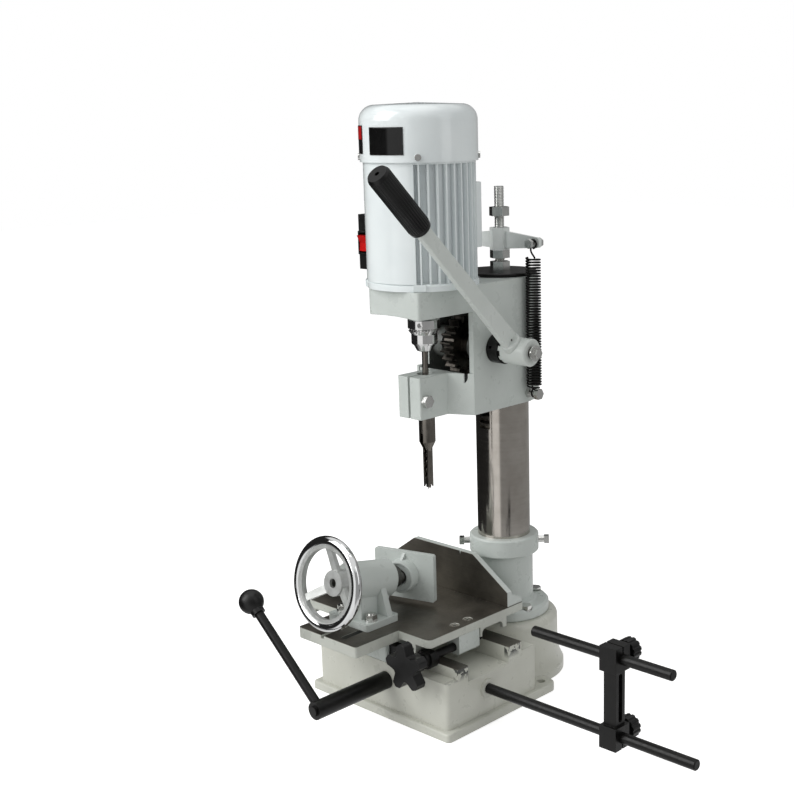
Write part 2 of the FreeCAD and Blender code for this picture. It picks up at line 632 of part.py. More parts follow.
def motor_shield():
    """Lower end shield: round plate with a cast lug over each screw."""
    y = SPINDLE_Y
    plate = turned([(12, MOTOR_Z), (MOTOR_BODY_R, MOTOR_Z), (MOTOR_BODY_R, MOTOR_Z + SHIELD_T - 2),
                    (MOTOR_BODY_R - 2, MOTOR_Z + SHIELD_T), (12, MOTOR_Z + SHIELD_T)], (0, y))
    hub = turned([(10.5, MOTOR_Z - 6), (20, MOTOR_Z - 6), (22, MOTOR_Z), (12, MOTOR_Z + 18),
                  (10.5, MOTOR_Z + 18)], (0, y))
    seat = turned([(8, MOTOR_Z - 6), (16, MOTOR_Z - 6), (16, MOTOR_Z + 18), (8, MOTOR_Z + 18)], (0, y))
    lugs = []
    for a in (-45, 45, 135, 225):
        lug = block((MOTOR_BODY_R - 7, MOTOR_BODY_R + 1.5), (-7, 7), (MOTOR_Z + 0.5, MOTOR_Z + SHIELD_T))
        lug.translate(V(0, y, 0))
        lugs.append(turn(lug, (0, y, 0), Z_AXIS, a - 3))
    bearing = rod(BEARING_R, (0, y, MOTOR_Z + 2), (0, y, MOTOR_Z + 30))
    shaft = rod(8.5, (0, y, MOTOR_Z - 10), (0, y, MOTOR_Z + 30))
    holes = [rod(2.6, (bx, by, MOTOR_Z - 1), (bx, by, MOTOR_Z + 12)) for bx, by in MOTOR_BOLTS]
    return cut(join(plate, hub, seat, *lugs), bearing, shaft, *holes)


BEARING_R = 13.0
BEARING_T = 9.0
UPPER_BEARING_Z = 620.0


def motor_bearings():
    """The rotor's two ball bearings, each as its closed ring."""
    rings = []
    for z in (MOTOR_Z + 2, UPPER_BEARING_Z):
        rings.append(turned([(8, z), (BEARING_R, z), (BEARING_R, z + BEARING_T), (8, z + BEARING_T)],
                            (0, SPINDLE_Y)))
    return group(*rings)


def motor_body():
    """Finned barrel with a smooth panel round its front left."""
    y = SPINDLE_Y
    z0, z1 = MOTOR_Z + SHIELD_T, COVER_Z[0] - 1.0
    core = turned([(MOTOR_BORE_R, z0), (MOTOR_CORE_R, z0), (MOTOR_CORE_R, z1), (MOTOR_BORE_R, z1)], (0, y))
    panel = turned([(MOTOR_CORE_R - 1, z0), (MOTOR_BODY_R, z0), (MOTOR_BODY_R, z1), (MOTOR_CORE_R - 1, z1)],
                   (0, y), 88)
    panel = turn(panel, (0, y, 0), Z_AXIS, -139)
    pieces = [panel]
    angle = -46.0
    while angle < 218:
        fin = prism([(MOTOR_CORE_R - 1, -1.5, z0), (MOTOR_BODY_R, -0.9, z0), (MOTOR_BODY_R, 0.9, z0),
                     (MOTOR_CORE_R - 1, 1.5, z0)], V(0, 0, z1 - z0))
        fin.translate(V(0, y, 0))
        pieces.append(turn(fin, (0, y, 0), Z_AXIS, angle))
        angle += FIN_STEP_DEG
    rim = turned([(MOTOR_BORE_R, z1 - 1), (MOTOR_BODY_R, z1 - 1), (MOTOR_BODY_R, z1 + 1.5),
                  (COVER_R - COVER_WALL - FIT, z1 + 1.5), (COVER_R - COVER_WALL - FIT, z1 + 13),
                  (57, z1 + 13), (57, z1 + 1), (MOTOR_BORE_R, z1 + 1)], (0, y))
    screw_holes = [rod(2.2, (0, y, COVER_SCREW_Z), (*shifted(80, a), COVER_SCREW_Z)) for a in COVER_SCREW_ANGLES]
    top = z1 - 1
    bearing_plate = turned([(9, top - 11), (18, top - 11), (18, top - 4), (MOTOR_BORE_R + 1, top - 4),
                            (MOTOR_BORE_R + 1, top + 1), (9, top + 1)], (0, y))
    bearing = rod(BEARING_R, (0, y, UPPER_BEARING_Z), (0, y, UPPER_BEARING_Z + BEARING_T))
    return cut(join(core, bearing_plate, rim, *pieces), bearing, *screw_holes)


def stator():
    """Wound stator packed in the barrel."""
    y = SPINDLE_Y
    return turned([(29, 530), (MOTOR_BORE_R - 8, 526), (MOTOR_BORE_R, 540), (MOTOR_BORE_R, 590),
                   (MOTOR_BORE_R - 8, 604), (29, 600)], (0, y))


def fan_cover():
    """Pressed cover with a domed top, rows of air slots and a rolled lower edge."""
    y = SPINDLE_Y
    z0, z1 = COVER_Z
    shell = []
    for inset in (0.0, COVER_WALL):
        r, top, bend = COVER_R - inset, z1 - inset, 17.0 - inset
        chord = bend * (1 - math.cos(math.radians(45)))
        low = z0 if inset == 0 else z0 - 1
        wire = Part.Wire([
            Part.makeLine(V(0, 0, low), V(r, 0, low)),
            Part.makeLine(V(r, 0, low), V(r, 0, top - 2 - bend)),
            Part.Arc(V(r, 0, top - 2 - bend), V(r - chord, 0, top - 2 - chord), V(r - bend, 0, top - 2)).toShape(),
            Part.makeLine(V(r - bend, 0, top - 2), V(0, 0, top)),
            Part.makeLine(V(0, 0, top), V(0, 0, low))])
        solid = Part.Face(wire).revolve(V(0, 0, 0), Z_AXIS, 360)
        solid.translate(V(0, y, 0))
        shell.append(solid)
    cover = shell[0].cut(shell[1])
    slots = []
    for row, y_row in enumerate((-30, -22.5, -15, -7.5, 0, 7.5, 15, 22.5, 30)):
        half = math.sqrt(42.0 ** 2 - y_row ** 2)
        for x0, x1 in ((-half, -2.5), (2.5, half)):
            slots.append(block((x0, x1), (y + y_row - 1.4, y + y_row + 1.4), (z1 - 10, z1 + 5)))
    holes = [rod(2.2, (0, y, COVER_SCREW_Z), (*shifted(80, a), COVER_SCREW_Z)) for a in COVER_SCREW_ANGLES]
    return cut(cover, *slots, *holes)


COVER_SCREW_ANGLES = (-46.0, 45.0, 135.0, 225.0)


def shifted(radius, degrees):
    x, y = polar(radius, degrees)
    return x, y + SPINDLE_Y


def cover_screws():
    """Pan-head screws round the lower edge of the fan cover."""
    screws = []
    for a in COVER_SCREW_ANGLES:
        inner, face, out = ((*shifted(COVER_R + d, a), COVER_SCREW_Z) for d in (-6.0, 0.0, 2.0))
        screws.append(join(rod(2.2, inner, face), rod(3.6, face, out)))
    return screws


def motor_screws():
    """Screws that hold the motor on its seat and the fan cover on the barrel."""
    return group(*motor_bolts(), *cover_screws())


def capacitor_box():
    """Rounded box for the capacitor on the back of the barrel."""
    box = block((-17, 17), (SPINDLE_Y + MOTOR_BODY_R - 3, SPINDLE_Y + 84), (537, 611))
    box = rounded(box, 5, lambda m, d: m.y > SPINDLE_Y + 80 or (upright(d) and m.y > SPINDLE_Y + 80))
    return cut(box, rod(MOTOR_BODY_R, (0, SPINDLE_Y, 530), (0, SPINDLE_Y, 620)))


SWITCH_X = (-83.0, -58.0)
SWITCH_Y = (-150.0, -116.0)
SWITCH_Z = (515.0, 577.0)
ROCKER_Z = 545.0
ROCKER_X = -73.0


def switch_box():
    """Switch box on the left flank of the motor, open at the front for the rocker."""
    box = block(SWITCH_X, SWITCH_Y, SWITCH_Z)
    box = rounded(box, 2.5, lambda m, d: upright(d) and m.x < -80)
    round_back = rod(MOTOR_BODY_R, (0, SPINDLE_Y, 500), (0, SPINDLE_Y, 600))
    pocket = block((ROCKER_X - 6.9, ROCKER_X + 6.9), (SWITCH_Y[0] - 1, SWITCH_Y[0] + 15),
                   (ROCKER_Z - 11.2, ROCKER_Z + 11.2))
    bezel = block((ROCKER_X - 8.4, ROCKER_X + 8.4), (SWITCH_Y[0] - 1.6, SWITCH_Y[0]),
                  (ROCKER_Z - 13.2, ROCKER_Z + 13.2))
    return cut(join(box, bezel), round_back, pocket, block((ROCKER_X - 6.9, ROCKER_X + 6.9),
               (SWITCH_Y[0] - 3, SWITCH_Y[0] + 1), (ROCKER_Z - 11.2, ROCKER_Z + 11.2)))


def switch_rocker():
    """Red rocker: a wide vee that tips about its middle."""
    y = SWITCH_Y[0]
    return prism([(ROCKER_X - 6.5, y + 5.5, ROCKER_Z - 8.0), (ROCKER_X - 6.5, y - 1.2, ROCKER_Z - 9.3),
                  (ROCKER_X - 6.5, y - 0.6, ROCKER_Z), (ROCKER_X - 6.5, y - 5.2, ROCKER_Z + 8.6),
                  (ROCKER_X - 6.5, y + 3.5, ROCKER_Z + 9.0)], V(13, 0, 0))


# ---- Rotor, chuck and bit ----------------------------------------------------------

def rotor():
    """Rotor core pressed on its shaft, which carries the chuck below and the fan above."""
    y = SPINDLE_Y
    low, high = MOTOR_Z + 2, UPPER_BEARING_Z
    return turned([(0, 463), (7, 463), (7, low), (8, low), (8, low + BEARING_T), (9.5, low + BEARING_T + 2),
                   (9.5, 533), (24, 533), (28.4, 537), (28.4, 595), (24, 599), (9.5, 599), (9.5, high - 2),
                   (8, high), (8, high + BEARING_T), (6, high + BEARING_T + 1), (6, 662), (0, 662)], (0, y))


def cooling_fan():
    """Radial fan on the shaft's upper end."""
    y = SPINDLE_Y
    hub = turned([(6, 645), (12, 645), (12, 661), (6, 661)], (0, y))
    disc = turned([(11, 645), (44, 645), (44, 647.5), (11, 647.5)], (0, y))
    blades = []
    for i in range(8):
        blade = block((11, 52), (-1, 1), (645, 662))
        blade.translate(V(0, y, 0))
        blades.append(turn(blade, (0, y, 0), Z_AXIS, i * 45))
    return join(hub, disc, *blades)


def chuck_body():
    """Keyed chuck's steel body, screwed on the motor shaft."""
    y = SPINDLE_Y
    body = turned([(0, 463), (17.2, 463), (18.6, 461.6), (18.6, 452), (15.2, 451), (15.2, 449.2),
                   (12.6, 449.2), (12.6, 433), (9.0, 426), (BIT_R, 424), (BIT_R, 446), (0, 446)], (0, y))
    key_holes = []
    for a in (-60, 60, 180):
        key_holes.append(rod(3, (*shifted(12, a), 456.5), (*shifted(20, a), 456.5)))
    return cut(body, *key_holes)


def chuck_sleeve():
    """Ring gear sleeve: bevel teeth above a fluted grip."""
    y = SPINDLE_Y
    sleeve = turned([(12.7, 433.5), (14.2, 433.5), (14.9, 435), (14.9, 445), (18.0, 449), (15.3, 450.9),
                     (15.3, 449.1), (12.7, 449.1)], (0, y))
    notches = []
    for i in range(24):
        notch = block((15.6, 19), (-0.8, 0.8), (446.5, 452))
        notch.translate(V(0, y, 0))
        notches.append(turn(notch, (0, y, 0), Z_AXIS, i * 15))
    return cut(sleeve, *notches)


def auger_bit():
    """Auger: plain shank, then a twisted two-lipped flute inside the chisel."""
    x, y = 0, SPINDLE_Y
    shank = rod(BIT_R, (x, y, 331), (x, y, 446))
    flute_r, web, pitch = CHISEL_BORE_R - 0.2, 0.9, 18.0
    sections = []
    start, end, steps = CHISEL_TIP_Z - 1.5, 333.0, 28
    for i in range(steps + 1):
        z = start + (end - start) * i / steps
        twist = math.degrees(2 * math.pi * (z - start) / pitch)
        ring = [(flute_r, 0.6), (web, web), (-flute_r, 0.6), (-flute_r, -0.6), (-web, -web), (flute_r, -0.6)]
        wire = Part.makePolygon([V(px, py, 0) for px, py in ring + ring[:1]])
        wire.rotate(V(0, 0, 0), Z_AXIS, twist)
        wire.translate(V(x, y, z))
        sections.append(wire)
    flute = Part.makeLoft(sections, True, True)
    tip = cone(0.2, 0.9, (x, y, start - 2.5), (x, y, start + 0.4))
    return join(shank, flute, tip)


# ---- Lever drive -------------------------------------------------------------------

def gear(module, teeth, x, bore=None):
    """Spur gear about an axis along X, with straight-flanked teeth, first gap up +Y."""
    pitch_r = module * teeth / 2
    tip_r, root_r = pitch_r + module, pitch_r - 1.25 * module
    points = []
    for i in range(teeth):
        middle = (i + 0.5) * 2 * math.pi / teeth
        for radius, half in ((root_r, 0.34), (pitch_r, 0.225), (tip_r, 0.09)):
            points.append((radius, middle - half * 2 * math.pi / teeth))
        for radius, half in ((tip_r, 0.09), (pitch_r, 0.225), (root_r, 0.34)):
            points.append((radius, middle + half * 2 * math.pi / teeth))
    ring = [(x[0], r * math.cos(a), r * math.sin(a)) for r, a in points]
    solid = prism(ring, V(x[1] - x[0], 0, 0))
    if bore:
        solid = cut(solid, rod(bore, (x[0] - 1, 0, 0), (x[1] + 1, 0, 0)))
    return solid


def pinion_gear():
    """Pinion in mesh with the column rack."""
    solid = gear(MODULE, PINION_TEETH, PINION_X, SHAFT_R)
    collar = cut(rod(16, (PINION_X[1], 0, 0), (PINION_X[1] + 9, 0, 0)),
                 rod(SHAFT_R, (PINION_X[1] - 1, 0, 0), (PINION_X[1] + 10, 0, 0)))
    solid = join(solid, collar)
    solid.translate(V(0, PINION_Y, PINION_Z))
    return solid


def pinion_shaft():
    """Stepped shaft: flange outside the left cheek, plain stub for the lever's hub."""
    y, z = PINION_Y, PINION_Z
    flange = rod(15, (HEAD_LEFT_X - 5, y, z), (HEAD_LEFT_X - GAP, y, z))
    return join(flange, rod(SHAFT_R, (HEAD_LEFT_X - 4, y, z), (BOSS_END_X + 2.5, y, z)),
                rod(7, (BOSS_END_X + 2, y, z), (HUB_WASHER_X[0], y, z)))


def shaft_bushes():
    """Bronze bushes in the two cheeks."""
    y, z = PINION_Y, PINION_Z
    bushes = []
    for x0, x1 in ((HEAD_LEFT_X, -21.0), (19.0, HEAD_RIGHT_X)):
        bushes.append(cut(rod(SHAFT_R + 3, (x0, y, z), (x1, y, z)),
                          rod(SHAFT_R + FIT, (x0 - 1, y, z), (x1 + 1, y, z))))
    return group(*bushes)


DOG_TEETH = 8
DOG_RING_R = (10.4, 15.6)


def dog_teeth(x, first):
    """Radial wedge teeth of one half of the dog clutch, a little under half the pitch wide."""
    pitch = 360 / DOG_TEETH
    width = pitch * 0.44
    r0, r1 = DOG_RING_R
    teeth = []
    for i in range(DOG_TEETH):
        tooth = turned([(r0, x[0]), (r1, x[0]), (r1, x[1]), (r0, x[1])], angle=width)
        tooth.rotate(V(0, 0, 0), Y_AXIS, 90)
        teeth.append(turn(tooth, (0, 0, 0), X_AXIS, first + i * pitch))
    return teeth


def drive_boss():
    """Black toothed boss keyed on the shaft, outside the right cheek."""
    x0, x1 = HEAD_RIGHT_X + 0.5, BOSS_END_X
    disc = rod(17.0, (x0, 0, 0), (x1, 0, 0))
    solid = join(disc, *dog_teeth((x1 - 0.5, x1 + 3.0), 0))
    set_screw = rod(2.0, (x0 + 6, -20, 4), (x0 + 6, -13, 3))
    solid = cut(solid, rod(SHAFT_R, (x0 - 1, 0, 0), (x1 + 5, 0, 0)), set_screw)
    solid.translate(V(0, PINION_Y, PINION_Z))
    return solid


def lever_hub():
    """Hub that slides on the shaft and carries the lever's arm."""
    x0, x1 = HUB_X
    body = rod(HUB_R, (x0, 0, 0), (x1 - 1.5, 0, 0))
    body = join(body, cone(HUB_R, HUB_R - 1.5, (x1 - 1.5, 0, 0), (x1, 0, 0)))
    body = join(body, *dog_teeth((x0 - 3.0, x0 + 0.5), 360 / DOG_TEETH / 2))
    body = cut(body, rod(7 + FIT, (x0 - 5, 0, 0), (x1 + 5, 0, 0)))
    body.translate(V(0, PINION_Y, PINION_Z))
    return body


def lean(shape):
    """Turn a shape drawn straight up from the hub so that it leans to the operator."""
    copy = turn(shape, (0, 0, 0), X_AXIS, LEVER_ANGLE)
    copy.translate(V(0, PINION_Y, PINION_Z))
    return copy


def lever_arm():
    """Tapered flat arm, wide at the hub and rounded into the grip."""
    start, end = 0, GRIP_SPAN[0] + 20
    arm = prism([(LEVER_X - 4.5, -11.0, start), (LEVER_X - 4.5, 11.0, start),
                 (LEVER_X - 4.5, 8.0, GRIP_SPAN[0]), (LEVER_X - 4.5, -8.0, GRIP_SPAN[0])], V(9, 0, 0))
    arm = rounded(arm, 2.0, lambda m, d: abs(d.z) > 0.9)
    stub = rod(6, (LEVER_X, 0, GRIP_SPAN[0] - 2), (LEVER_X, 0, end + 30))
    root = join(rod(12.0, (LEVER_X, 0, 0), (LEVER_X, 0, HUB_R + 2)),
                cone(12.0, 10.5, (LEVER_X, 0, HUB_R + 2), (LEVER_X, 0, HUB_R + 4)))
    arm = join(arm, stub, root)
    arm = cut(arm, rod(HUB_R, (LEVER_X - 20, 0, 0), (LEVER_X + 20, 0, 0)))
    return lean(arm)


def lever_grip():
    """Ribbed black grip with a hole in its end face."""
    z0, z1 = GRIP_SPAN
    profile = [(0, z0), (GRIP_R - 3.0, z0), (GRIP_R - 0.8, z0 + 2), (GRIP_R, z0 + 6), (GRIP_R, z1 - 3),
               (GRIP_R - 1.5, z1), (0, z1)]
    grip = turned(profile, (LEVER_X, 0))
    core = rod(6, (LEVER_X, 0, z0 - 1), (LEVER_X, 0, GRIP_SPAN[0] + 50))
    hole = rod(2.6, (LEVER_X, 0, z1 - 12), (LEVER_X, 0, z1 + 1))
    return lean(cut(grip, core, hole))


def hub_cap():
    """Washer and bolt that keep the hub on its shaft."""
    y, z = PINION_Y, PINION_Z
    x0, x1 = HUB_WASHER_X
    washer = rod(9.0, (x0, y, z), (x1, y, z))
    return join(washer, hexagon(10, (x1, y, z), (x1 + 5, y, z)))


# ---- Saddle and table --------------------------------------------------------------

def saddle():
    """Saddle on the two slideways: front apron, guide lug below, dovetail ridge on top."""
    x0, x1 = SADDLE_X
    z0 = WAY_Z + GAP
    plate = block(SADDLE_X, (BASE_Y[0], -64.0), (z0, SADDLE_TOP_Z))
    apron = block(SADDLE_X, (BASE_Y[0], FRONT_WAY_Y[0] - GAP), (FRONT_LEDGE_Z + GAP, z0 + 1))
    guide = block((x0 + 6, x1 - 6), (FRONT_WAY_Y[1] + GAP, REAR_WAY_Y[0] - GAP - 5.5), (DECK_Z + 2, z0 + 1))
    lean_x = DOVETAIL_SLOPE
    (d0, d1), h = DOVETAIL_TOP_X, WING_UNDER_Z - GAP
    y0, y1 = DOVETAIL_Y
    ridge = prism([(d0 + lean_x, y0, SADDLE_TOP_Z - 1), (d0 + lean_x, y0, SADDLE_TOP_Z),
                   (d0, y0, h), (d1, y0, h),
                   (d1 - lean_x, y0, SADDLE_TOP_Z), (d1 - lean_x, y0, SADDLE_TOP_Z - 1)],
                  V(0, y1 - y0, 0))
    solid = join(plate, apron, guide, ridge)
    solid = rounded(solid, 2.5, lambda m, d: upright(d) and m.y < -195 and m.z < SADDLE_TOP_Z)
    hollow = block((x0 + 14, x1 - 14), (-132, -110), (DECK_Z, SADDLE_TOP_Z - 6))
    rack_seat = block((x0 - 1, x1 + 1), (-160.5, -143.5), (DECK_Z, 62.5))
    return cut(solid, hollow, rack_seat)


WING_UNDER_Z = TABLE_TOP_Z - WING_T


def saddle_rack():
    """Rack under the saddle, driven by the crank's pinion."""
    count = 17
    outline = rack_profile(RACK_MODULE, count, 62.5 - (CRANK_Z + CRANK_PITCH_R))
    middle = CRANK_X + RACK_MIDDLE_SHIFT
    points = [(middle + a, -160.5, CRANK_Z + CRANK_PITCH_R - h) for a, h in outline]
    return prism(points, V(0, 17, 0))


RACK_MIDDLE_SHIFT = -6 * math.pi * RACK_MODULE


def saddle_gib():
    """Tapered gib strip between the saddle's guide and the rear slideway."""
    x0, x1 = SADDLE_X
    return block((x0 + 6, x1 - 6), (REAR_WAY_Y[0] - GAP - 5.5, REAR_WAY_Y[0] - GAP), (DECK_Z + 6, WAY_Z))


def table_casting():
    """Cast table: ground plate, front wing for the clamp, dovetail ways and skirts."""
    z0, z1 = TABLE_TOP_Z - TABLE_T, TABLE_TOP_Z
    plate = block(TABLE_X, TABLE_Y, (z0, z1))
    plate = rounded(plate, 7, lambda m, d: upright(d) and m.y < -190)
    wing = block(WING_X, (WING_FRONT_Y, TABLE_Y[0] + 12), (WING_UNDER_Z, z1))
    wing = rounded(wing, 3, lambda m, d: upright(d) and m.y < -260)
    lean_x = DOVETAIL_SLOPE
    (d0, d1), z = DOVETAIL_TOP_X, SADDLE_TOP_Z + GAP
    way_y = DOVETAIL_Y[0]
    length = V(0, DOVETAIL_Y[1] - way_y, 0)
    left = prism([(SADDLE_X[0], way_y, z), (d0 + lean_x - GAP * 1.5, way_y, z), (d0 - GAP * 1.5, way_y, z0 - 3),
                  (d0 - GAP * 1.5, way_y, z0 + 1), (SADDLE_X[0], way_y, z0 + 1)], length)
    gib_t = 6.0
    right = prism([(d1 - lean_x + gib_t + GAP, way_y, z), (SADDLE_X[1] + 1, way_y, z), (SADDLE_X[1] + 1, way_y, z0 + 1),
                   (d1 + gib_t + GAP, way_y, z0 + 1), (d1 + gib_t + GAP, way_y, z0 - 3)], length)
    skirt = block((TABLE_X[1] - 4.6, TABLE_X[1]), (-112, -66), (88.0, z0 + 1))
    across = (TABLE_X[1] - 10, TABLE_X[1] + 1)
    arch = [rod(6.0, (across[0], y, 91.0), (across[1], y, 91.0)) for y in (-103, -79)]
    arch += [block(across, (-103, -79), (84, 97.0)), block(across, (-109, -73), (84, 91.0))]
    lugs = [block(x, (TABLE_Y[1] - 1, LUG_BACK_Y), (z0, z1))
            for x in ((TABLE_X[0], TABLE_X[0] + 23), (TABLE_X[1] - 23, TABLE_X[1]))]
    left_skirt = block((TABLE_X[0], TABLE_X[0] + 7), (-190, -50), (92.0, z0 + 1))
    lug = block((29, 39), (TABLE_Y[0], TABLE_Y[0] + 9), (88.0, z0 + 1))
    lug = rounded(lug, 3, lambda m, d: abs(d.y) > 0.9 and m.z < 92)
    solid = join(plate, wing, left, right, cut(skirt, *arch), left_skirt, lug, *lugs)
    slots = []
    for x in CLAMP_BOLT_X:
        y0, y1 = SLOT_Y
        slots += [block((x - 4.3, x + 4.3), SLOT_Y, (WING_UNDER_Z - 5, z1 + 1)),
                  rod(4.3, (x, y0, WING_UNDER_Z - 5), (x, y0, z1 + 1)),
                  rod(4.3, (x, y1, WING_UNDER_Z - 5), (x, y1, z1 + 1)),
                  block((x - 8.5, x + 8.5), (WING_FRONT_Y + 4, y1 + 9), (WING_UNDER_Z - 0.01, TEE_Z))]
    key_slot = block((CLAMP_X - 2.5, CLAMP_X + 2.5), (WING_FRONT_Y - 1, -226), (z1 - 4, z1 + 1))
    screw_holes = [cone(2.6, 6.2, (x, y, z1 - 5), (x, y, z1)) for x, y in TABLE_SCREWS]
    screw_holes += [rod(2.6, (x, y, z0 - 1), (x, y, z1)) for x, y in TABLE_SCREWS]
    fence_holes = [rod(2.5, (x - 3, FENCE_SCREW_Y, z0 - 1), (x - 3, FENCE_SCREW_Y, z1 + 1)) for x in FENCE_FOOT_X]
    lug_hole = rod(2.2, (34, TABLE_Y[0] - 1, 93.5), (34, TABLE_Y[0] + 12, 93.5))
    return cut(solid, *slots, key_slot, *screw_holes, *fence_holes, lug_hole)


SLOT_Y = (-250.0, -180.0)
TEE_Z = 103.3         # roof of the wide lower part of the slots
CLAMP_BOLT_X = (CLAMP_X - 24.0, CLAMP_X + 24.0)
TABLE_SCREWS = ((49.0, -143.0), (48.0, -120.0))
FENCE_FOOT_X = (-140.0, -45.0, 50.0)
FENCE_SCREW_Y = -50.4
LUG_BACK_Y = -37.0    # back of the table's two rear lugs and of the fence's end feet


def table_gib():
    """Gib strip in the right-hand dovetail."""
    (d0, d1), z = DOVETAIL_TOP_X, SADDLE_TOP_Z + GAP
    top = TABLE_TOP_Z - TABLE_T - 3
    way_y = DOVETAIL_Y[0]
    return prism([(d1 - DOVETAIL_SLOPE + GAP * 1.5, way_y, z), (d1 - DOVETAIL_SLOPE + 6.0 + GAP, way_y, z),
                  (d1 + 6.0 + GAP, way_y, top), (d1 + GAP * 1.5, way_y, top)], V(0, DOVETAIL_Y[1] - way_y, 0))


def feed_nut():
    """Nut block hung under the table, threaded for the star screw."""
    block_y = (-147.5, -113.0)
    z0 = TABLE_TOP_Z - TABLE_T
    solid = block((41.0, 60.0), block_y, (76.0, z0))
    solid = rounded(solid, 3, lambda m, d: abs(d.y) > 0.9 and m.z < 80)
    bore = rod(STAR_SCREW_R + FIT, (STAR_X, block_y[0] - 1, STAR_Z), (STAR_X, block_y[1] + 1, STAR_Z))
    holes = [rod(2.6, (x, y, z0 - 8), (x, y, z0 + 1)) for x, y in TABLE_SCREWS]
    return cut(solid, bore, *holes)


def table_screws():
    """Countersunk screws of the nut block, and the fence's cap screws."""
    z = TABLE_TOP_Z
    screws = []
    for x, y in TABLE_SCREWS:
        head = cone(2.6, 5.76, (x, y, z - 5), (x, y, z - 0.6))
        socket = rod(1.8, (x, y, z - 3), (x, y, z + 1))
        screws.append(cut(join(head, rod(2.6, (x, y, z - 18), (x, y, z - 5))), socket))
    return group(*screws, *fence_screws())


def fence():
    """Fence: upright plate with sloped shoulders on three gusseted feet."""
    y0, y1 = FENCE_Y
    z0 = TABLE_TOP_Z
    top_x0, top_x1 = FENCE_TOP_X
    plate = prism([(TABLE_X[0], y0, z0), (TABLE_X[1] - 1, y0, z0), (TABLE_X[1] - 1, y0, FENCE_SHOULDER_Z),
                   (top_x1, y0, FENCE_TOP_Z), (top_x0, y0, FENCE_TOP_Z), (TABLE_X[0], y0, FENCE_SHOULDER_Z)],
                  V(0, y1 - y0, 0))
    feet = []
    for x, back in zip(FENCE_FOOT_X, (LUG_BACK_Y, TABLE_Y[1], LUG_BACK_Y)):
        feet.append(block((x - 10, x + 10), (y1 - 1, back), (z0, z0 + 6)))
        feet.append(prism([(x + 6, y1 - 0.5, z0), (x + 6, back, z0), (x + 6, back, z0 + 6),
                           (x + 6, y1 - 0.5, z0 + 15)], V(4, 0, 0)))
    solid = join(plate, *feet)
    mark = prism([(-18, y0 - 1, FENCE_TOP_Z + 1), (-15, y0 - 1, FENCE_TOP_Z + 1), (-16.5, y0 - 1, FENCE_TOP_Z - 5)],
                 V(0, 2, 0))
    holes = [rod(2.5, (x - 3, FENCE_SCREW_Y, z0 - 1), (x - 3, FENCE_SCREW_Y, z0 + 10)) for x in FENCE_FOOT_X]
    return cut(solid, mark, *holes)


def fence_screws():
    """Cap screws through the fence's feet into the table."""
    z = TABLE_TOP_Z
    screws = []
    for x in FENCE_FOOT_X:
        screws.append(join(rod(2.5, (x - 3, FENCE_SCREW_Y, z - 9), (x - 3, FENCE_SCREW_Y, z + 6)),
                           rod(4.2, (x - 3, FENCE_SCREW_Y, z + 6), (x - 3, FENCE_SCREW_Y, z + 11))))
    return screws


# ---- Crank -------------------------------------------------------------------------

def crank_shaft():
    """Stout black shaft through the front wall, its pinion cut on the inner end."""
    x, z = CRANK_X, CRANK_Z
    pinion = gear(RACK_MODULE, CRANK_TEETH, (0, 17))
    pinion = turn(pinion, (0, 0, 0), Z_AXIS, 90)
    pinion = turn(pinion, (0, 0, 0), Y_AXIS, 90)
    pinion.translate(V(x, -160.5, z))
    shaft = join(rod(CRANK_R, (x, CRANK_ARM_Y - 8, z), (x, -165.5, z)),
                 rod(6, (x, CRANK_ARM_Y - 11, z), (x, CRANK_ARM_Y - 7, z)),
                 rod(CRANK_R - 2.5, (x, -166, z), (x, -124, z)), pinion)
    return cut(shaft, crank_arm())


def crank_arm():
    """Round arm screwed crosswise into the shaft's end."""
    ball, hub, direction = crank_line()
    length = hub.distanceToPoint(ball) - BALL_R + 4
    return Part.makeCylinder(CRANK_ARM_R, length - 3, hub + direction * 3, direction)


def crank_line():
    """The ball's centre, the arm's foot on the shaft's axis, and the way between them."""
    ball = V(*BALL_AT)
    hub = V(CRANK_X, CRANK_ARM_Y, CRANK_Z)
    return ball, hub, (ball - hub).normalize()


def crank_ball():
    """Ball knob with a short neck, bored for the arm's end."""
    ball, hub, direction = crank_line()
    neck = Part.makeCylinder(8.0, BALL_R, ball - direction * (BALL_R + 3), direction)
    socket = Part.makeCylinder(CRANK_ARM_R, BALL_R + 8, ball - direction * (BALL_R + 12), direction)
    return join(cut(Part.makeSphere(BALL_R, ball), socket), cut(neck, socket))


# ---- Star screw --------------------------------------------------------------------

def star_screw():
    """Feed screw: a collar before its bracket, and the thread's shoulder behind it."""
    x, z = STAR_X, STAR_Z
    y0, y1 = BRACKET_Y
    return join(rod(STAR_SCREW_R, (x, STAR_Y - 4, z), (x, y0 - 1, z)),
                rod(9.5, (x, y0 - 5, z), (x, y0 - GAP, z)),
                rod(STAR_JOURNAL_R, (x, y0 - 1, z), (x, y1 + 1, z)),
                rod(STAR_SCREW_R, (x, y1 + GAP, z), (x, -104, z)))


def star_knob():
    """Five-lobed knob with a hub towards the screw."""
    core = 16.0
    points = []
    for i in range(5):
        middle = 90 + i * 72 + 8
        points += [(26.4, middle - 13), (28.5, middle), (26.4, middle + 13), (core, middle + 29), (core, middle + 43)]
    ring = []
    for r, a in points:
        ring.append((STAR_X + r * math.cos(math.radians(a)), STAR_Y - 7, STAR_Z + r * math.sin(math.radians(a))))
    star = prism(ring, V(0, 13, 0))
    star = star.makeFillet(2.4, [e for e in star.Edges if abs(e.Curve.Direction.y) > 0.9])
    hub = rod(11, (STAR_X, STAR_Y + 5, STAR_Z), (STAR_X, STAR_Y + 17, STAR_Z))
    return cut(join(star, hub), rod(STAR_SCREW_R, (STAR_X, STAR_Y - 4, STAR_Z), (STAR_X, STAR_Y + 30, STAR_Z)))


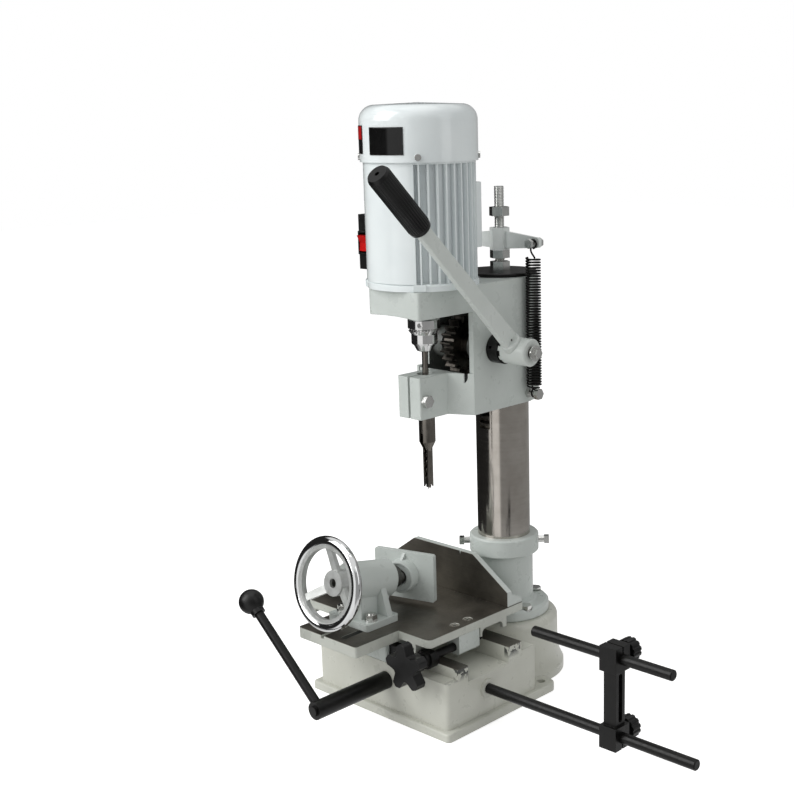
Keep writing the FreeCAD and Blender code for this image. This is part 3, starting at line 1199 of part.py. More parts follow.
def screw_bracket():
    """Steel bearing bar from the saddle that holds the star screw endways."""
    y0, y1 = BRACKET_Y
    bar = block((SADDLE_X[1], STAR_X), BRACKET_Y, (WAY_Z - 5, SADDLE_TOP_Z - 3))
    eye = rod(12, (STAR_X, y0, STAR_Z), (STAR_X, y1, STAR_Z))
    top = block((STAR_X - 20, STAR_X + 20), (y0 - 1, y1 + 1), (SADDLE_TOP_Z + 3, SADDLE_TOP_Z + 30))
    bore = rod(STAR_JOURNAL_R + FIT, (STAR_X, y0 - 1, STAR_Z), (STAR_X, y1 + 1, STAR_Z))
    return cut(join(bar, eye), bore, top)


# ---- Work clamp --------------------------------------------------------------------

def clamp_housing():
    """Cast screw housing on a gusseted foot, its bore leaning down to the fence."""
    s0, s1 = HOUSING_S
    start, end = on_clamp_axis(s0), on_clamp_axis(s1)
    barrel = rod(HOUSING_R, tuple(start), tuple(end))
    z0 = TABLE_TOP_Z
    foot = block((CLAMP_X - 34, CLAMP_X + 34), (-225, -174), (z0, z0 + 8))
    foot = rounded(foot, 4, lambda m, d: upright(d))
    low, high = z0 + 7, 152
    web = prism([(CLAMP_X - 15, -216, low), (CLAMP_X - 15, -176, low), (CLAMP_X - 15, -167, high - 3),
                 (CLAMP_X - 15, -214, high + 8)], V(30, 0, 0))
    gussets = []
    for side in (-1, 1):
        x0 = CLAMP_X + side * 12
        gussets.append(prism([(x0, -190, low), (CLAMP_X + side * 32, -190, low),
                              (CLAMP_X + side * 21, -190, 152), (x0, -190, 152)], V(0, 8, 0)))
    solid = join(barrel, foot, web, *gussets)
    bore = rod(CLAMP_SCREW_R + FIT, tuple(on_clamp_axis(s0 - 5)), tuple(on_clamp_axis(s1 + 5)))
    nose_bore = rod(NOSE_R + FIT, tuple(on_clamp_axis(NOSE_S[0] - 12)), tuple(on_clamp_axis(s1 + 5)))
    holes = [rod(4.2, (x, CLAMP_BOLT_Y, z0 - 1), (x, CLAMP_BOLT_Y, z0 + 30)) for x in CLAMP_BOLT_X]
    seats = [rod(8.6, (x, CLAMP_BOLT_Y, z0 + 8), (x, CLAMP_BOLT_Y, z0 + 22)) for x in CLAMP_BOLT_X]
    below = block((-200, 200), (-400, 0), (0, z0))
    return cut(solid, bore, nose_bore, below, *holes, *seats)


def clamp_bolts():
    """Bolts, washers and nuts that hold the clamp in the table's slots."""
    z0 = TABLE_TOP_Z
    bolts = []
    for x in CLAMP_BOLT_X:
        bolts.append(join(rod(4, (x, CLAMP_BOLT_Y, TEE_Z - 5.0), (x, CLAMP_BOLT_Y, z0 + 17)),
                          rod(8, (x, CLAMP_BOLT_Y, z0 + 8), (x, CLAMP_BOLT_Y, z0 + 9.6)),
                          hexagon(13, (x, CLAMP_BOLT_Y, z0 + 9.6), (x, CLAMP_BOLT_Y, z0 + 15.6)),
                          hexagon(13, (x, CLAMP_BOLT_Y, TEE_Z - 5.3), (x, CLAMP_BOLT_Y, TEE_Z - 0.3))))
    return group(*bolts)


def clamp_screw():
    """Clamp screw, held endways in the housing: it starts sunk in the wheel's hub."""
    s0, s1 = SCREW_S
    socket = rod(5.5, (0, s0 - 1, 0), (0, s0 + 4, 0))
    return along_clamp(cut(rod(CLAMP_SCREW_R, (0, s0, 0), (0, s1, 0)), socket))


def handwheel():
    """Dished handwheel: round rim on a flat band, three sloping spokes, and the hub behind the rim."""
    s0, s1 = WHEEL_HUB_S
    rim = Part.makeTorus(WHEEL_R, RIM_R, V(0, 0, 0), Y_AXIS)
    band = cut(rod(45.0, (0, -3.5, 0), (0, 3.5, 0)), rod(40.5, (0, -5, 0), (0, 5, 0)))
    hub = rod(15, (0, s0, 0), (0, s1, 0))
    slope = prism([(-6, 11.5, 12), (-6, 17, 12), (-6, 3.5, 42.5), (-6, -2, 42.5)], V(12, 0, 0))
    spoke = slope.common(prism([(-5.5, -9, 10), (5.5, -9, 10), (4, -9, 45), (-4, -9, 45)], V(0, 40, 0)))
    spokes = [turn(spoke, (0, 0, 0), Y_AXIS, angle) for angle in (-5, 115, 235)]
    wheel = join(hub, rim, band, *spokes)
    bore = join(rod(5.5, (0, s0 - 1, 0), (0, SCREW_S[0] + 1, 0)), rod(CLAMP_SCREW_R, (0, SCREW_S[0], 0), (0, s1 + 1, 0)))
    return along_clamp(cut(wheel, bore))


def pad_at():
    return on_clamp_axis(PAD_AT_S)


def pad_ball():
    """Quill that the screw drives out of the housing; its ball bears the pad."""
    s0, s1 = NOSE_S
    ball = Part.makeSphere(9.0, pad_at())
    marks = [tuple(on_clamp_axis(s)) for s in (s0, s0 + 1, s1 - 1, s1)]
    nose = join(cone(NOSE_R - 1, NOSE_R, marks[0], marks[1]), rod(NOSE_R, marks[1], marks[2]),
                cone(NOSE_R, NOSE_R - 1, marks[2], marks[3]))
    neck = rod(6, tuple(on_clamp_axis(s1 - 1)), tuple(on_clamp_axis(PAD_AT_S - 5)))
    seat = rod(CLAMP_SCREW_R + FIT, tuple(on_clamp_axis(s0 - 1)), tuple(on_clamp_axis(s1 - 3)))
    return cut(join(nose, neck, ball), seat)


def clamp_pad():
    """Cast pad with a socket boss and gussets, swivelled on its ball."""
    width, thick = PAD_SIZE
    face_y = 13.0
    back_y = face_y - thick
    plate = block((-width / 2, width / 2), (back_y, face_y), PAD_Z)
    plate = rounded(plate, 3, lambda m, d: abs(d.y) > 0.9)
    boss = join(cone(18.8, 19.4, (0, -7.0, 0), (0, -6.3, 0)), cone(19.4, 20.2, (0, -6.3, 0), (0, back_y + 0.5, 0)))
    rib = prism([(-2, back_y + 0.5, 17), (-2, back_y + 0.5, 27), (-2, -3.0, 17)], V(4, 0, 0))
    mouth = join(rod(17.0, (0, -8.0, 0), (0, -5.4, 0)), cone(10.5, 8.6, (0, -5.5, 0), (0, -3.0, 0)))
    solid = join(plate, boss, rib)
    solid = cut(solid, Part.makeSphere(9.0 + FIT, V(0, 0, 0)), mouth)
    solid.rotate(V(0, 0, 0), Z_AXIS, PAD_SWIVEL)
    solid.translate(pad_at())
    return solid


# ---- Work stop ---------------------------------------------------------------------

def stop_post():
    """Lower rod, fixed in the base."""
    x0, x1 = STOP_LOW_X
    return join(rod(STOP_R, (x0, STOP_Y, STOP_LOW_Z), (x1 - 1, STOP_Y, STOP_LOW_Z)),
                cone(STOP_R, STOP_R - 1, (x1 - 1, STOP_Y, STOP_LOW_Z), (x1, STOP_Y, STOP_LOW_Z)))


def stop_rod():
    """Upper rod, whose end meets the work."""
    x0, x1 = STOP_HIGH_X
    return join(rod(STOP_R, (x0 + 1, STOP_Y, STOP_HIGH_Z), (x1 - 1, STOP_Y, STOP_HIGH_Z)),
                cone(STOP_R, STOP_R - 1, (x1 - 1, STOP_Y, STOP_HIGH_Z), (x1, STOP_Y, STOP_HIGH_Z)),
                cone(STOP_R - 1, STOP_R, (x0, STOP_Y, STOP_HIGH_Z), (x0 + 1, STOP_Y, STOP_HIGH_Z)))


def stop_link():
    """Upright link: a clamping block at each end of a slotted bar."""
    x, y = LINK_X, STOP_Y
    upper = block((x - 11, x + 11), (y - 12, y + 12), (STOP_HIGH_Z - 14, STOP_HIGH_Z + 14))
    lower = block((x - 11, x + 11), (y - 12, y + 12), (STOP_LOW_Z - 13, STOP_LOW_Z + 13))
    bar = block((x - 8, x + 8), (y - 8, y + 8), (STOP_LOW_Z + 12, STOP_HIGH_Z - 13))
    solid = join(upper, lower, bar)
    slot = block((x - 10, x + 10), (y - 3.2, y + 3.2), (STOP_LOW_Z + 20, STOP_HIGH_Z - 20))
    slot_ends = [rod(3.2, (x - 10, y, z), (x + 10, y, z)) for z in (STOP_LOW_Z + 20, STOP_HIGH_Z - 20)]
    bores = [rod(STOP_R + FIT, (x - 20, y, z), (x + 20, y, z)) for z in (STOP_LOW_Z, STOP_HIGH_Z)]
    threads = [rod(4.05, (x, y, z), (x, y + 20, z)) for z in (STOP_LOW_Z, STOP_HIGH_Z)]
    saw_cuts = [block((x - 12, x + 12), (y - 1, y + 1), (STOP_HIGH_Z + 3, STOP_HIGH_Z + 15)),
                block((x - 12, x + 12), (y - 1, y + 1), (STOP_LOW_Z - 14, STOP_LOW_Z - 3))]
    return cut(solid, slot, *slot_ends, *bores, *threads, *saw_cuts)


def stop_knob_upper():
    return stop_knob(STOP_HIGH_Z)


def stop_knob_lower():
    return stop_knob(STOP_LOW_Z)


def stop_knob(z):
    """Fluted knob whose screw bears on the rod."""
    x, y = LINK_X, STOP_Y
    face = y + 12 + GAP + 0.5
    disc = rod(KNOB_R, (x, face + 5, z), (x, face + 18, z))
    flutes = [rod(1.8, (x + (KNOB_R + 0.6) * math.cos(a), face, z + (KNOB_R + 0.6) * math.sin(a)),
                  (x + (KNOB_R + 0.6) * math.cos(a), face + 20, z + (KNOB_R + 0.6) * math.sin(a)))
              for a in [i * math.pi / 6 for i in range(12)]]
    disc = cut(disc, *flutes)
    return join(disc, rod(8, (x, face, z), (x, face + 6, z)), rod(4, (x, y + STOP_R + GAP, z), (x, face + 1, z)))


# ---- Every piece by its name ---------------------------------------------------------

PIECES = (
    base_casting,
    column_socket,
    socket_bolts,
    column,
    column_rack,
    column_cap,
    stroke_rod,
    bracket_nuts,
    spring_bracket,
    return_springs,
    stop_post,
    head_casting,
    head_screws,
    shaft_bushes,
    hollow_chisel,
    motor_shield,
    motor_screws,
    motor_bearings,
    motor_body,
    stator,
    fan_cover,
    capacitor_box,
    switch_box,
    switch_rocker,
    rotor,
    cooling_fan,
    chuck_body,
    chuck_sleeve,
    auger_bit,
    pinion_gear,
    pinion_shaft,
    drive_boss,
    hub_cap,
    lever_hub,
    lever_arm,
    lever_grip,
    saddle,
    saddle_rack,
    saddle_gib,
    screw_bracket,
    table_casting,
    table_gib,
    feed_nut,
    table_screws,
    fence,
    clamp_housing,
    clamp_bolts,
    crank_shaft,
    crank_arm,
    crank_ball,
    star_screw,
    star_knob,
    clamp_screw,
    handwheel,
    pad_ball,
    clamp_pad,
    stop_link,
    stop_rod,
    stop_knob_upper,
    stop_knob_lower,
)


def main():
    os.makedirs("parts", exist_ok=True)
    for piece in PIECES:
        piece().exportStep(os.path.join("parts", piece.__name__ + ".step"))


main()
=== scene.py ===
"""Benchtop hollow-chisel mortiser: finishes, springs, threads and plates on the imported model.

Metres, in the model's own frame: X to the operator's right, Y away from the operator, Z up,
and the origin on the column's axis at the underside of the base.
"""
import math

import bmesh
import bpy
from mathutils import Euler, Matrix, Vector


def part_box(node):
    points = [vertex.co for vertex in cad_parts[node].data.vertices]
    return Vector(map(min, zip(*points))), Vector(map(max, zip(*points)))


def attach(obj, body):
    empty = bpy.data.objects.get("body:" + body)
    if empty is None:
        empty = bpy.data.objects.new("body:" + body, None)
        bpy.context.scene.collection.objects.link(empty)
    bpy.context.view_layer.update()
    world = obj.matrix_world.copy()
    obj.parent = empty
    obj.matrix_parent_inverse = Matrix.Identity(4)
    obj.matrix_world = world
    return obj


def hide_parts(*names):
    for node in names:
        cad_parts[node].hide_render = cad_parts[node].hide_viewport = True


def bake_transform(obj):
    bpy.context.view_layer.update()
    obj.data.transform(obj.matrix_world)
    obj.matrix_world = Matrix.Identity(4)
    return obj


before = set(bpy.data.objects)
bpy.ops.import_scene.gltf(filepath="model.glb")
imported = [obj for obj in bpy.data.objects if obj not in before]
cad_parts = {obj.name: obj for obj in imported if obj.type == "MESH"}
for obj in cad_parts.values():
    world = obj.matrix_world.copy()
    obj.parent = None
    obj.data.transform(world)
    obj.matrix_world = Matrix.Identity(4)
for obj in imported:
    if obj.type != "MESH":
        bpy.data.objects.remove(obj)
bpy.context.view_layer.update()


# ---- Small tools -------------------------------------------------------------------

def linear(hex_colour):
    """An sRGB colour such as #BEC8C3 as linear red, green, blue and alpha."""
    parts = [int(hex_colour[i:i + 2], 16) / 255 for i in (1, 3, 5)]
    return [p / 12.92 if p <= 0.04045 else ((p + 0.055) / 1.055) ** 2.4 for p in parts] + [1.0]


def add(tree, kind, inputs=None, **settings):
    """Add a node; inputs maps a socket to a value or to the socket that feeds it."""
    node = tree.nodes.new(kind)
    for name, value in settings.items():
        setattr(node, name, value)
    for name, value in (inputs or {}).items():
        if isinstance(value, bpy.types.NodeSocket):
            tree.links.new(value, node.inputs[name])
        else:
            node.inputs[name].default_value = value
    return node


def start(name, **shader):
    """A new material: its tree, its shader with constants on its own sockets, its coordinates."""
    material = bpy.data.materials.new(name)
    material.use_nodes = True
    tree = material.node_tree
    tree.nodes.clear()
    surface = add(tree, "ShaderNodeBsdfPrincipled", {k.replace("_", " "): v for k, v in shader.items()})
    add(tree, "ShaderNodeOutputMaterial", {"Surface": surface.outputs[0]})
    coords = add(tree, "ShaderNodeTexCoord")
    return material, tree, surface, coords


def noise(tree, vector, per_metre, detail=3.0, stretch=(1, 1, 1)):
    """Noise with so many features to the metre, drawn out where stretch is below 1."""
    scaled = add(tree, "ShaderNodeVectorMath", {0: vector, 1: [per_metre * s for s in stretch]},
                 operation="MULTIPLY")
    return add(tree, "ShaderNodeTexNoise", {"Vector": scaled.outputs[0], "Scale": 1.0, "Detail": detail,
                                            "Roughness": 0.55}).outputs["Fac"]


def between(tree, value, low, high, out_low=0.0, out_high=1.0):
    """Value mapped from one range to another and held inside it."""
    return add(tree, "ShaderNodeMapRange", {"Value": value, "From Min": low, "From Max": high,
                                            "To Min": out_low, "To Max": out_high}).outputs[0]


def blend(tree, factor, first, second):
    """Colour mix; first and second are hex colours or sockets."""
    ends = [linear(c) if isinstance(c, str) else c for c in (first, second)]
    mix = add(tree, "ShaderNodeMix", {"Factor": factor, 6: ends[0], 7: ends[1]}, data_type="RGBA")
    return mix.outputs[2]


def mix_numbers(tree, factor, first, second):
    """The first number where factor is 0, the second where it is 1."""
    return add(tree, "ShaderNodeMix", {"Factor": factor, 2: first, 3: second}).outputs[0]


def calculate(tree, operation, first, second=0.0, third=0.0):
    """One step of arithmetic on numbers or sockets."""
    return add(tree, "ShaderNodeMath", {0: first, 1: second, 2: third}, operation=operation).outputs[0]


def relief(tree, surface, *layers, edge=0.0):
    """Stack bumps of (height socket, depth in metres) on the shader; edge rounds hard corners."""
    normal = None
    if edge:
        normal = add(tree, "ShaderNodeBevel", {"Radius": edge}, samples=4).outputs[0]
    for height, depth in layers:
        inputs = {"Height": height, "Distance": depth, "Strength": 1.0}
        if normal:
            inputs["Normal"] = normal
        normal = add(tree, "ShaderNodeBump", inputs).outputs[0]
    tree.links.new(normal, surface.inputs["Normal"])


def wire(tree, surface, **sockets):
    """Link values to the shader's sockets; an underscore in a name stands for a space."""
    for name, value in sockets.items():
        tree.links.new(value, surface.inputs[name.replace("_", " ")])


# ---- Finishes ----------------------------------------------------------------------

def enamel_layers(tree, coords, tone, stain, dirt):
    """Colour and roughness of brushed-on enamel over sand-cast iron, with stains and specks."""
    vector = coords.outputs["Object"]
    cloud = between(tree, noise(tree, vector, 22), 0.35, 0.7)
    colour = blend(tree, calculate(tree, "MULTIPLY", cloud, 0.5), tone, stain)
    specks = between(tree, noise(tree, vector, 150, 4), 0.71, 0.78, 0.0, 0.4)
    colour = blend(tree, specks, colour, dirt)
    rough = between(tree, noise(tree, vector, 60), 0.3, 0.7, 0.24, 0.40)
    return colour, rough


def cast_relief(tree, coords):
    """Sand-cast skin under paint: shallow waves 12 mm long and a 2 mm orange peel."""
    vector = coords.outputs["Object"]
    return (noise(tree, vector, 80, 2), 0.00045), (noise(tree, vector, 480, 2), 0.0001)


def clouds_and_marks(tree, cloud, marks):
    """Large clouds and fine tool marks as one factor, six parts to four."""
    return calculate(tree, "ADD", calculate(tree, "MULTIPLY", cloud, 0.6),
                     calculate(tree, "MULTIPLY", marks, 0.4))


def ground_layers(tree, coords, dark, light, grain=(0.03, 1, 1)):
    """Colour, roughness and fine lines of surface-ground iron with oil stains."""
    vector = coords.outputs["Object"]
    lines = noise(tree, vector, 1300, 3, grain)
    cloud = between(tree, noise(tree, vector, 16, 4), 0.35, 0.68)
    colour = blend(tree, clouds_and_marks(tree, cloud, lines), dark, light)
    rough = between(tree, noise(tree, vector, 35), 0.3, 0.7, 0.30, 0.46)
    return colour, rough


# Tone, stain and dirt of each enamel, and the two ends of ground iron.
ENAMEL_TONES = ("#C6CCC8", "#B9C0BB", "#8C897F")
BASE_TONES = ("#CACBC1", "#BDBEB3", "#8E897B")
TABLE_EDGE_TONES = ("#C0C3BB", "#A9ABA2", "#6E6C63")
LEVER_TONES = ("#CBD0CC", "#C0C6C1", "#8A867B")
GROUND_TONES = ("#423F3A", "#7D7970")
# Grease and painted shade inside the head's gear room.
GREASE_AND_SHADE = "#686B68"
# Chipped enamel on the base's ways; painted shade inside the table's slots.
CHIPPED_AND_SLOT_SHADE = "#454744"


def above(tree, value, limit, soft=0.0002):
    """1 where value is over the limit, 0 under it, with a soft edge."""
    return between(tree, value, limit - soft, limit + soft)


def enamelled_iron(name="enamelled cast iron", ground=None, dark=None, tones=ENAMEL_TONES,
                   dark_tone=GREASE_AND_SHADE):
    """Sand-cast iron in pale grey-green enamel: soft sheen, waves, specks of dirt.

    ground is a function that returns the mask of machined faces, dark that of greasy, chipped or shaded
    ones, with painted shade in the head's gear room and the table's slots.
    """
    material, tree, surface, coords = start(name, IOR=1.5)
    colour, rough = enamel_layers(tree, coords, *tones)
    position = add(tree, "ShaderNodeSeparateXYZ", {0: coords.outputs["Object"]}).outputs
    if dark:
        mask = dark(tree, position)
        colour = blend(tree, mask, colour, dark_tone)
    if ground:
        mask = ground(tree, position)
        metal_colour, metal_rough = ground_layers(tree, coords, *GROUND_TONES)
        colour = blend(tree, mask, colour, metal_colour)
        rough = mix_numbers(tree, mask, rough, metal_rough)
        wire(tree, surface, Metallic=calculate(tree, "MULTIPLY", mask, 0.85))
    wire(tree, surface, Base_Color=colour, Roughness=rough)
    relief(tree, surface, *cast_relief(tree, coords), edge=0.0011)
    return material


def product(tree, *factors):
    """All the factors multiplied together."""
    result = factors[0]
    for factor in factors[1:]:
        result = calculate(tree, "MULTIPLY", result, factor)
    return result


def inverse(tree, value):
    """1 less the value."""
    return calculate(tree, "SUBTRACT", 1.0, value)


def table_ground(tree, position):
    """Top of the table and its wing."""
    return above(tree, position[2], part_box("table_casting")[1].z - 0.0003)


WASHER_RADIUS = 0.008
SLOT_HALF_WIDTH = 0.0047
SLOT_SPAN_Y = (-0.2555, -0.175)


def table_slot_shade(tree, position):
    """Painted shade on the walls inside the wing's two slots."""
    low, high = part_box("clamp_bolts")
    near = []
    for x in (low.x + WASHER_RADIUS, high.x - WASHER_RADIUS):
        off_centre = calculate(tree, "ABSOLUTE", calculate(tree, "SUBTRACT", position[0], x))
        near.append(between(tree, off_centre, SLOT_HALF_WIDTH, SLOT_HALF_WIDTH + 0.0002, 1.0, 0.0))
    inside = calculate(tree, "MAXIMUM", *near)
    below = inverse(tree, above(tree, position[2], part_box("table_casting")[1].z - 0.0006))
    ahead = inverse(tree, above(tree, position[1], SLOT_SPAN_Y[1]))
    return product(tree, inside, below, ahead, above(tree, position[1], SLOT_SPAN_Y[0]))


def fence_ground(tree, position):
    """Working face of the fence."""
    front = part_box("fence")[0].y
    return inverse(tree, above(tree, position[1], front + 0.0004))


WAYS_BACK_Y = -0.0735
CHIPS_FROM_X = 0.0845
CHIPS_FROM_Z = 0.0675
CHIPS_BACK_Y = -0.0760


def ways_ground(tree, position):
    """Tops of the two slideways."""
    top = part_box("base_casting")[1].z - 0.0006
    ahead = inverse(tree, above(tree, position[1], WAYS_BACK_Y))
    return product(tree, above(tree, position[2], top), ahead)


def way_chips(tree, position):
    """Where the enamel has chipped off at the right ends of the slideways."""
    x, y, z = position
    ragged = noise(tree, add(tree, "ShaderNodeCombineXYZ", {0: x, 1: y, 2: z}).outputs[0], 150, 4)
    return product(tree, above(tree, x, CHIPS_FROM_X), above(tree, z, CHIPS_FROM_Z, 0.004),
                   inverse(tree, above(tree, y, CHIPS_BACK_Y)), above(tree, ragged, 0.47, 0.012))


GEAR_ROOM_LOW = (-0.0385, -0.0975, 0.3855)
GEAR_ROOM_HIGH = (0.0405, -0.0440, 0.4705)
HOLDER_LIP_Z = 0.3995
HOLDER_SPLAY_X = 0.0285


def gear_room_grease_and_shade(tree, position):
    """Darker inside of the head, round the pinion: grease and painted shade in the hollow; the splayed
    holder's corner stays clean.
    """
    sides = [above(tree, value, low) for value, low in zip(position, GEAR_ROOM_LOW)]
    sides += [inverse(tree, above(tree, value, high)) for value, high in zip(position, GEAR_ROOM_HIGH)]
    inner = calculate(tree, "MAXIMUM", above(tree, position[2], HOLDER_LIP_Z),
                      inverse(tree, above(tree, position[0], HOLDER_SPLAY_X)))
    return product(tree, *sides, inner)


MOTOR_AXIS_Y = -0.130
GROOVE_SPAN_Z = (0.509, 0.635)
GROOVE_RADII = (0.0565, 0.0600)


def fin_groove_shade(tree, vector):
    """Painted shade at the bottom of the grooves between the motor's fins."""
    x, y, z = add(tree, "ShaderNodeSeparateXYZ", {0: vector}).outputs
    back = calculate(tree, "SUBTRACT", y, MOTOR_AXIS_Y)
    flat = add(tree, "ShaderNodeCombineXYZ", {0: x, 1: back}).outputs[0]
    radius = add(tree, "ShaderNodeVectorMath", {0: flat}, operation="LENGTH").outputs["Value"]
    low, high = GROOVE_SPAN_Z
    return product(tree, between(tree, radius, *GROOVE_RADII, 0.45, 0.0), above(tree, z, low),
                   inverse(tree, above(tree, z, high)))


def motor_enamel():
    """Die-cast aluminium in glossy off-white enamel: mirror-like, very even."""
    material, tree, surface, coords = start("glossy enamelled aluminium, shaded fin grooves", IOR=1.5,
                                            Coat_Weight=0.6, Coat_Roughness=0.04)
    vector = coords.outputs["Object"]
    colour = blend(tree, between(tree, noise(tree, vector, 14), 0.35, 0.7), "#E9EFEF", "#E0E7E8")
    # painted shade darkens the grooves between the fins
    colour = blend(tree, fin_groove_shade(tree, vector), colour, "#A9B0B4")
    rough = between(tree, noise(tree, vector, 45), 0.3, 0.7, 0.16, 0.24)
    wire(tree, surface, Base_Color=colour, Roughness=rough)
    relief(tree, surface, (noise(tree, vector, 70, 2), 0.00016), edge=0.0006)
    return material


LEVER_LEAN = math.radians(45)
LEVER_PIVOT = Vector((0.080, -0.062, 0.424))
ARM_FACE_X = 0.0845
PIN_REACH = 0.021
PIN_HOLE_SHADE_CENTRE = (ARM_FACE_X, LEVER_PIVOT.y - PIN_REACH * math.sin(LEVER_LEAN),
           LEVER_PIVOT.z + PIN_REACH * math.cos(LEVER_LEAN))
PIN_HOLE_SHADE_RADIUS = 0.0013


def lever_paint():
    """Cast iron in smooth light grey paint, a little worn to darker patches, with a dark disc of painted
    shade in the arm's pin hole.
    """
    material, tree, surface, coords = start("painted lever iron", IOR=1.5)
    colour, rough = enamel_layers(tree, coords, *LEVER_TONES)
    away = add(tree, "ShaderNodeVectorMath", {0: coords.outputs["Object"], 1: PIN_HOLE_SHADE_CENTRE},
               operation="DISTANCE")
    # a dark disc painted where the arm's pin hole is: painted shade
    pin = inverse(tree, above(tree, away.outputs["Value"], PIN_HOLE_SHADE_RADIUS))
    wire(tree, surface, Base_Color=blend(tree, pin, colour, "#3A3833"), Roughness=rough)
    relief(tree, surface, (noise(tree, coords.outputs["Object"], 220, 2), 0.00015), edge=0.0010)
    return material


def metal(name, dark, light, rough, stretch=(1, 1, 1), depth=0.00002, per_metre=900, edge=0.0, blotch=30):
    """A bare metal: two tones in clouds and tool marks, drawn out along stretch."""
    material, tree, surface, coords = start(name, Metallic=1.0)
    vector = coords.outputs["Object"]
    marks = noise(tree, vector, per_metre, 3, stretch)
    cloud = between(tree, noise(tree, vector, blotch, 3), 0.35, 0.68)
    wire(tree, surface, Base_Color=blend(tree, clouds_and_marks(tree, cloud, marks), dark, light),
         Roughness=between(tree, marks, 0.3, 0.7, rough * 0.8, rough * 1.25))
    relief(tree, surface, (marks, depth), edge=edge)
    return material


def blackened(name, tone="#080807", light="#11100F", rough=0.36, metallic=0.2):
    """Steel with a black oxide finish: near black, oily half-sheen, faint drawn lines."""
    material, tree, surface, coords = start(name, Metallic=metallic, IOR=1.4)
    vector = coords.outputs["Object"]
    cloud = between(tree, noise(tree, vector, 70, 4), 0.4, 0.7)
    wire(tree, surface, Base_Color=blend(tree, cloud, tone, light),
         Roughness=between(tree, noise(tree, vector, 200), 0.3, 0.7, rough * 0.8, rough * 1.2))
    relief(tree, surface, (noise(tree, vector, 600, 3), 0.00005), edge=0.0005)
    return material


def moulded(name, tone, light, rough, grain=900, depth=0.00004):
    """Moulded plastic, printed foil or matt plating: an even tone, fine texture, soft edges."""
    material, tree, surface, coords = start(name, IOR=1.38)
    vector = coords.outputs["Object"]
    cloud = between(tree, noise(tree, vector, 40), 0.35, 0.7)
    wire(tree, surface, Base_Color=blend(tree, cloud, tone, light),
         Roughness=between(tree, noise(tree, vector, 120), 0.3, 0.7, rough * 0.85, rough * 1.15))
    relief(tree, surface, (noise(tree, vector, grain, 2), depth), edge=0.0006)
    return material


WHEEL_TILT = math.radians(11)
WHEEL_CENTRE = Vector((-0.045, -0.252, 0.169))
WHEEL_AXIS = Vector((0, math.cos(WHEEL_TILT), -math.sin(WHEEL_TILT)))
WHEEL_RIM_INNER = 0.0452


def wheel_finish():
    """Handwheel: the rim plated bright and polished, hub and spokes in silver paint."""
    material, tree, surface, coords = start("polished and silver-painted wheel")
    vector = coords.outputs["Object"]
    offset = add(tree, "ShaderNodeVectorMath", {0: vector, 1: WHEEL_CENTRE},
                 operation="SUBTRACT").outputs[0]
    along = add(tree, "ShaderNodeVectorMath", {0: offset, 1: WHEEL_AXIS},
                operation="DOT_PRODUCT").outputs["Value"]
    length = add(tree, "ShaderNodeVectorMath", {0: offset}, operation="LENGTH").outputs["Value"]
    reach = calculate(tree, "SUBTRACT", calculate(tree, "MULTIPLY", length, length),
                      calculate(tree, "MULTIPLY", along, along))
    limit = WHEEL_RIM_INNER ** 2
    rim = between(tree, reach, limit * 0.98, limit * 1.02)
    paint = blend(tree, between(tree, noise(tree, vector, 90), 0.35, 0.7), "#C9CBC9", "#B2B4B1")
    wire(tree, surface, Base_Color=blend(tree, rim, paint, "#DADBDB"),
         Metallic=between(tree, rim, 0.0, 1.0, 0.45, 1.0),
         Roughness=between(tree, rim, 0.0, 1.0, 0.36, 0.06))
    relief(tree, surface, (noise(tree, vector, 260, 2), 0.00006), edge=0.0006)
    return material


def dress(material, *nodes):
    """Give CAD nodes a finish."""
    for name in nodes:
        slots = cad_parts[name].data.materials
        slots.clear()
        slots.append(material)


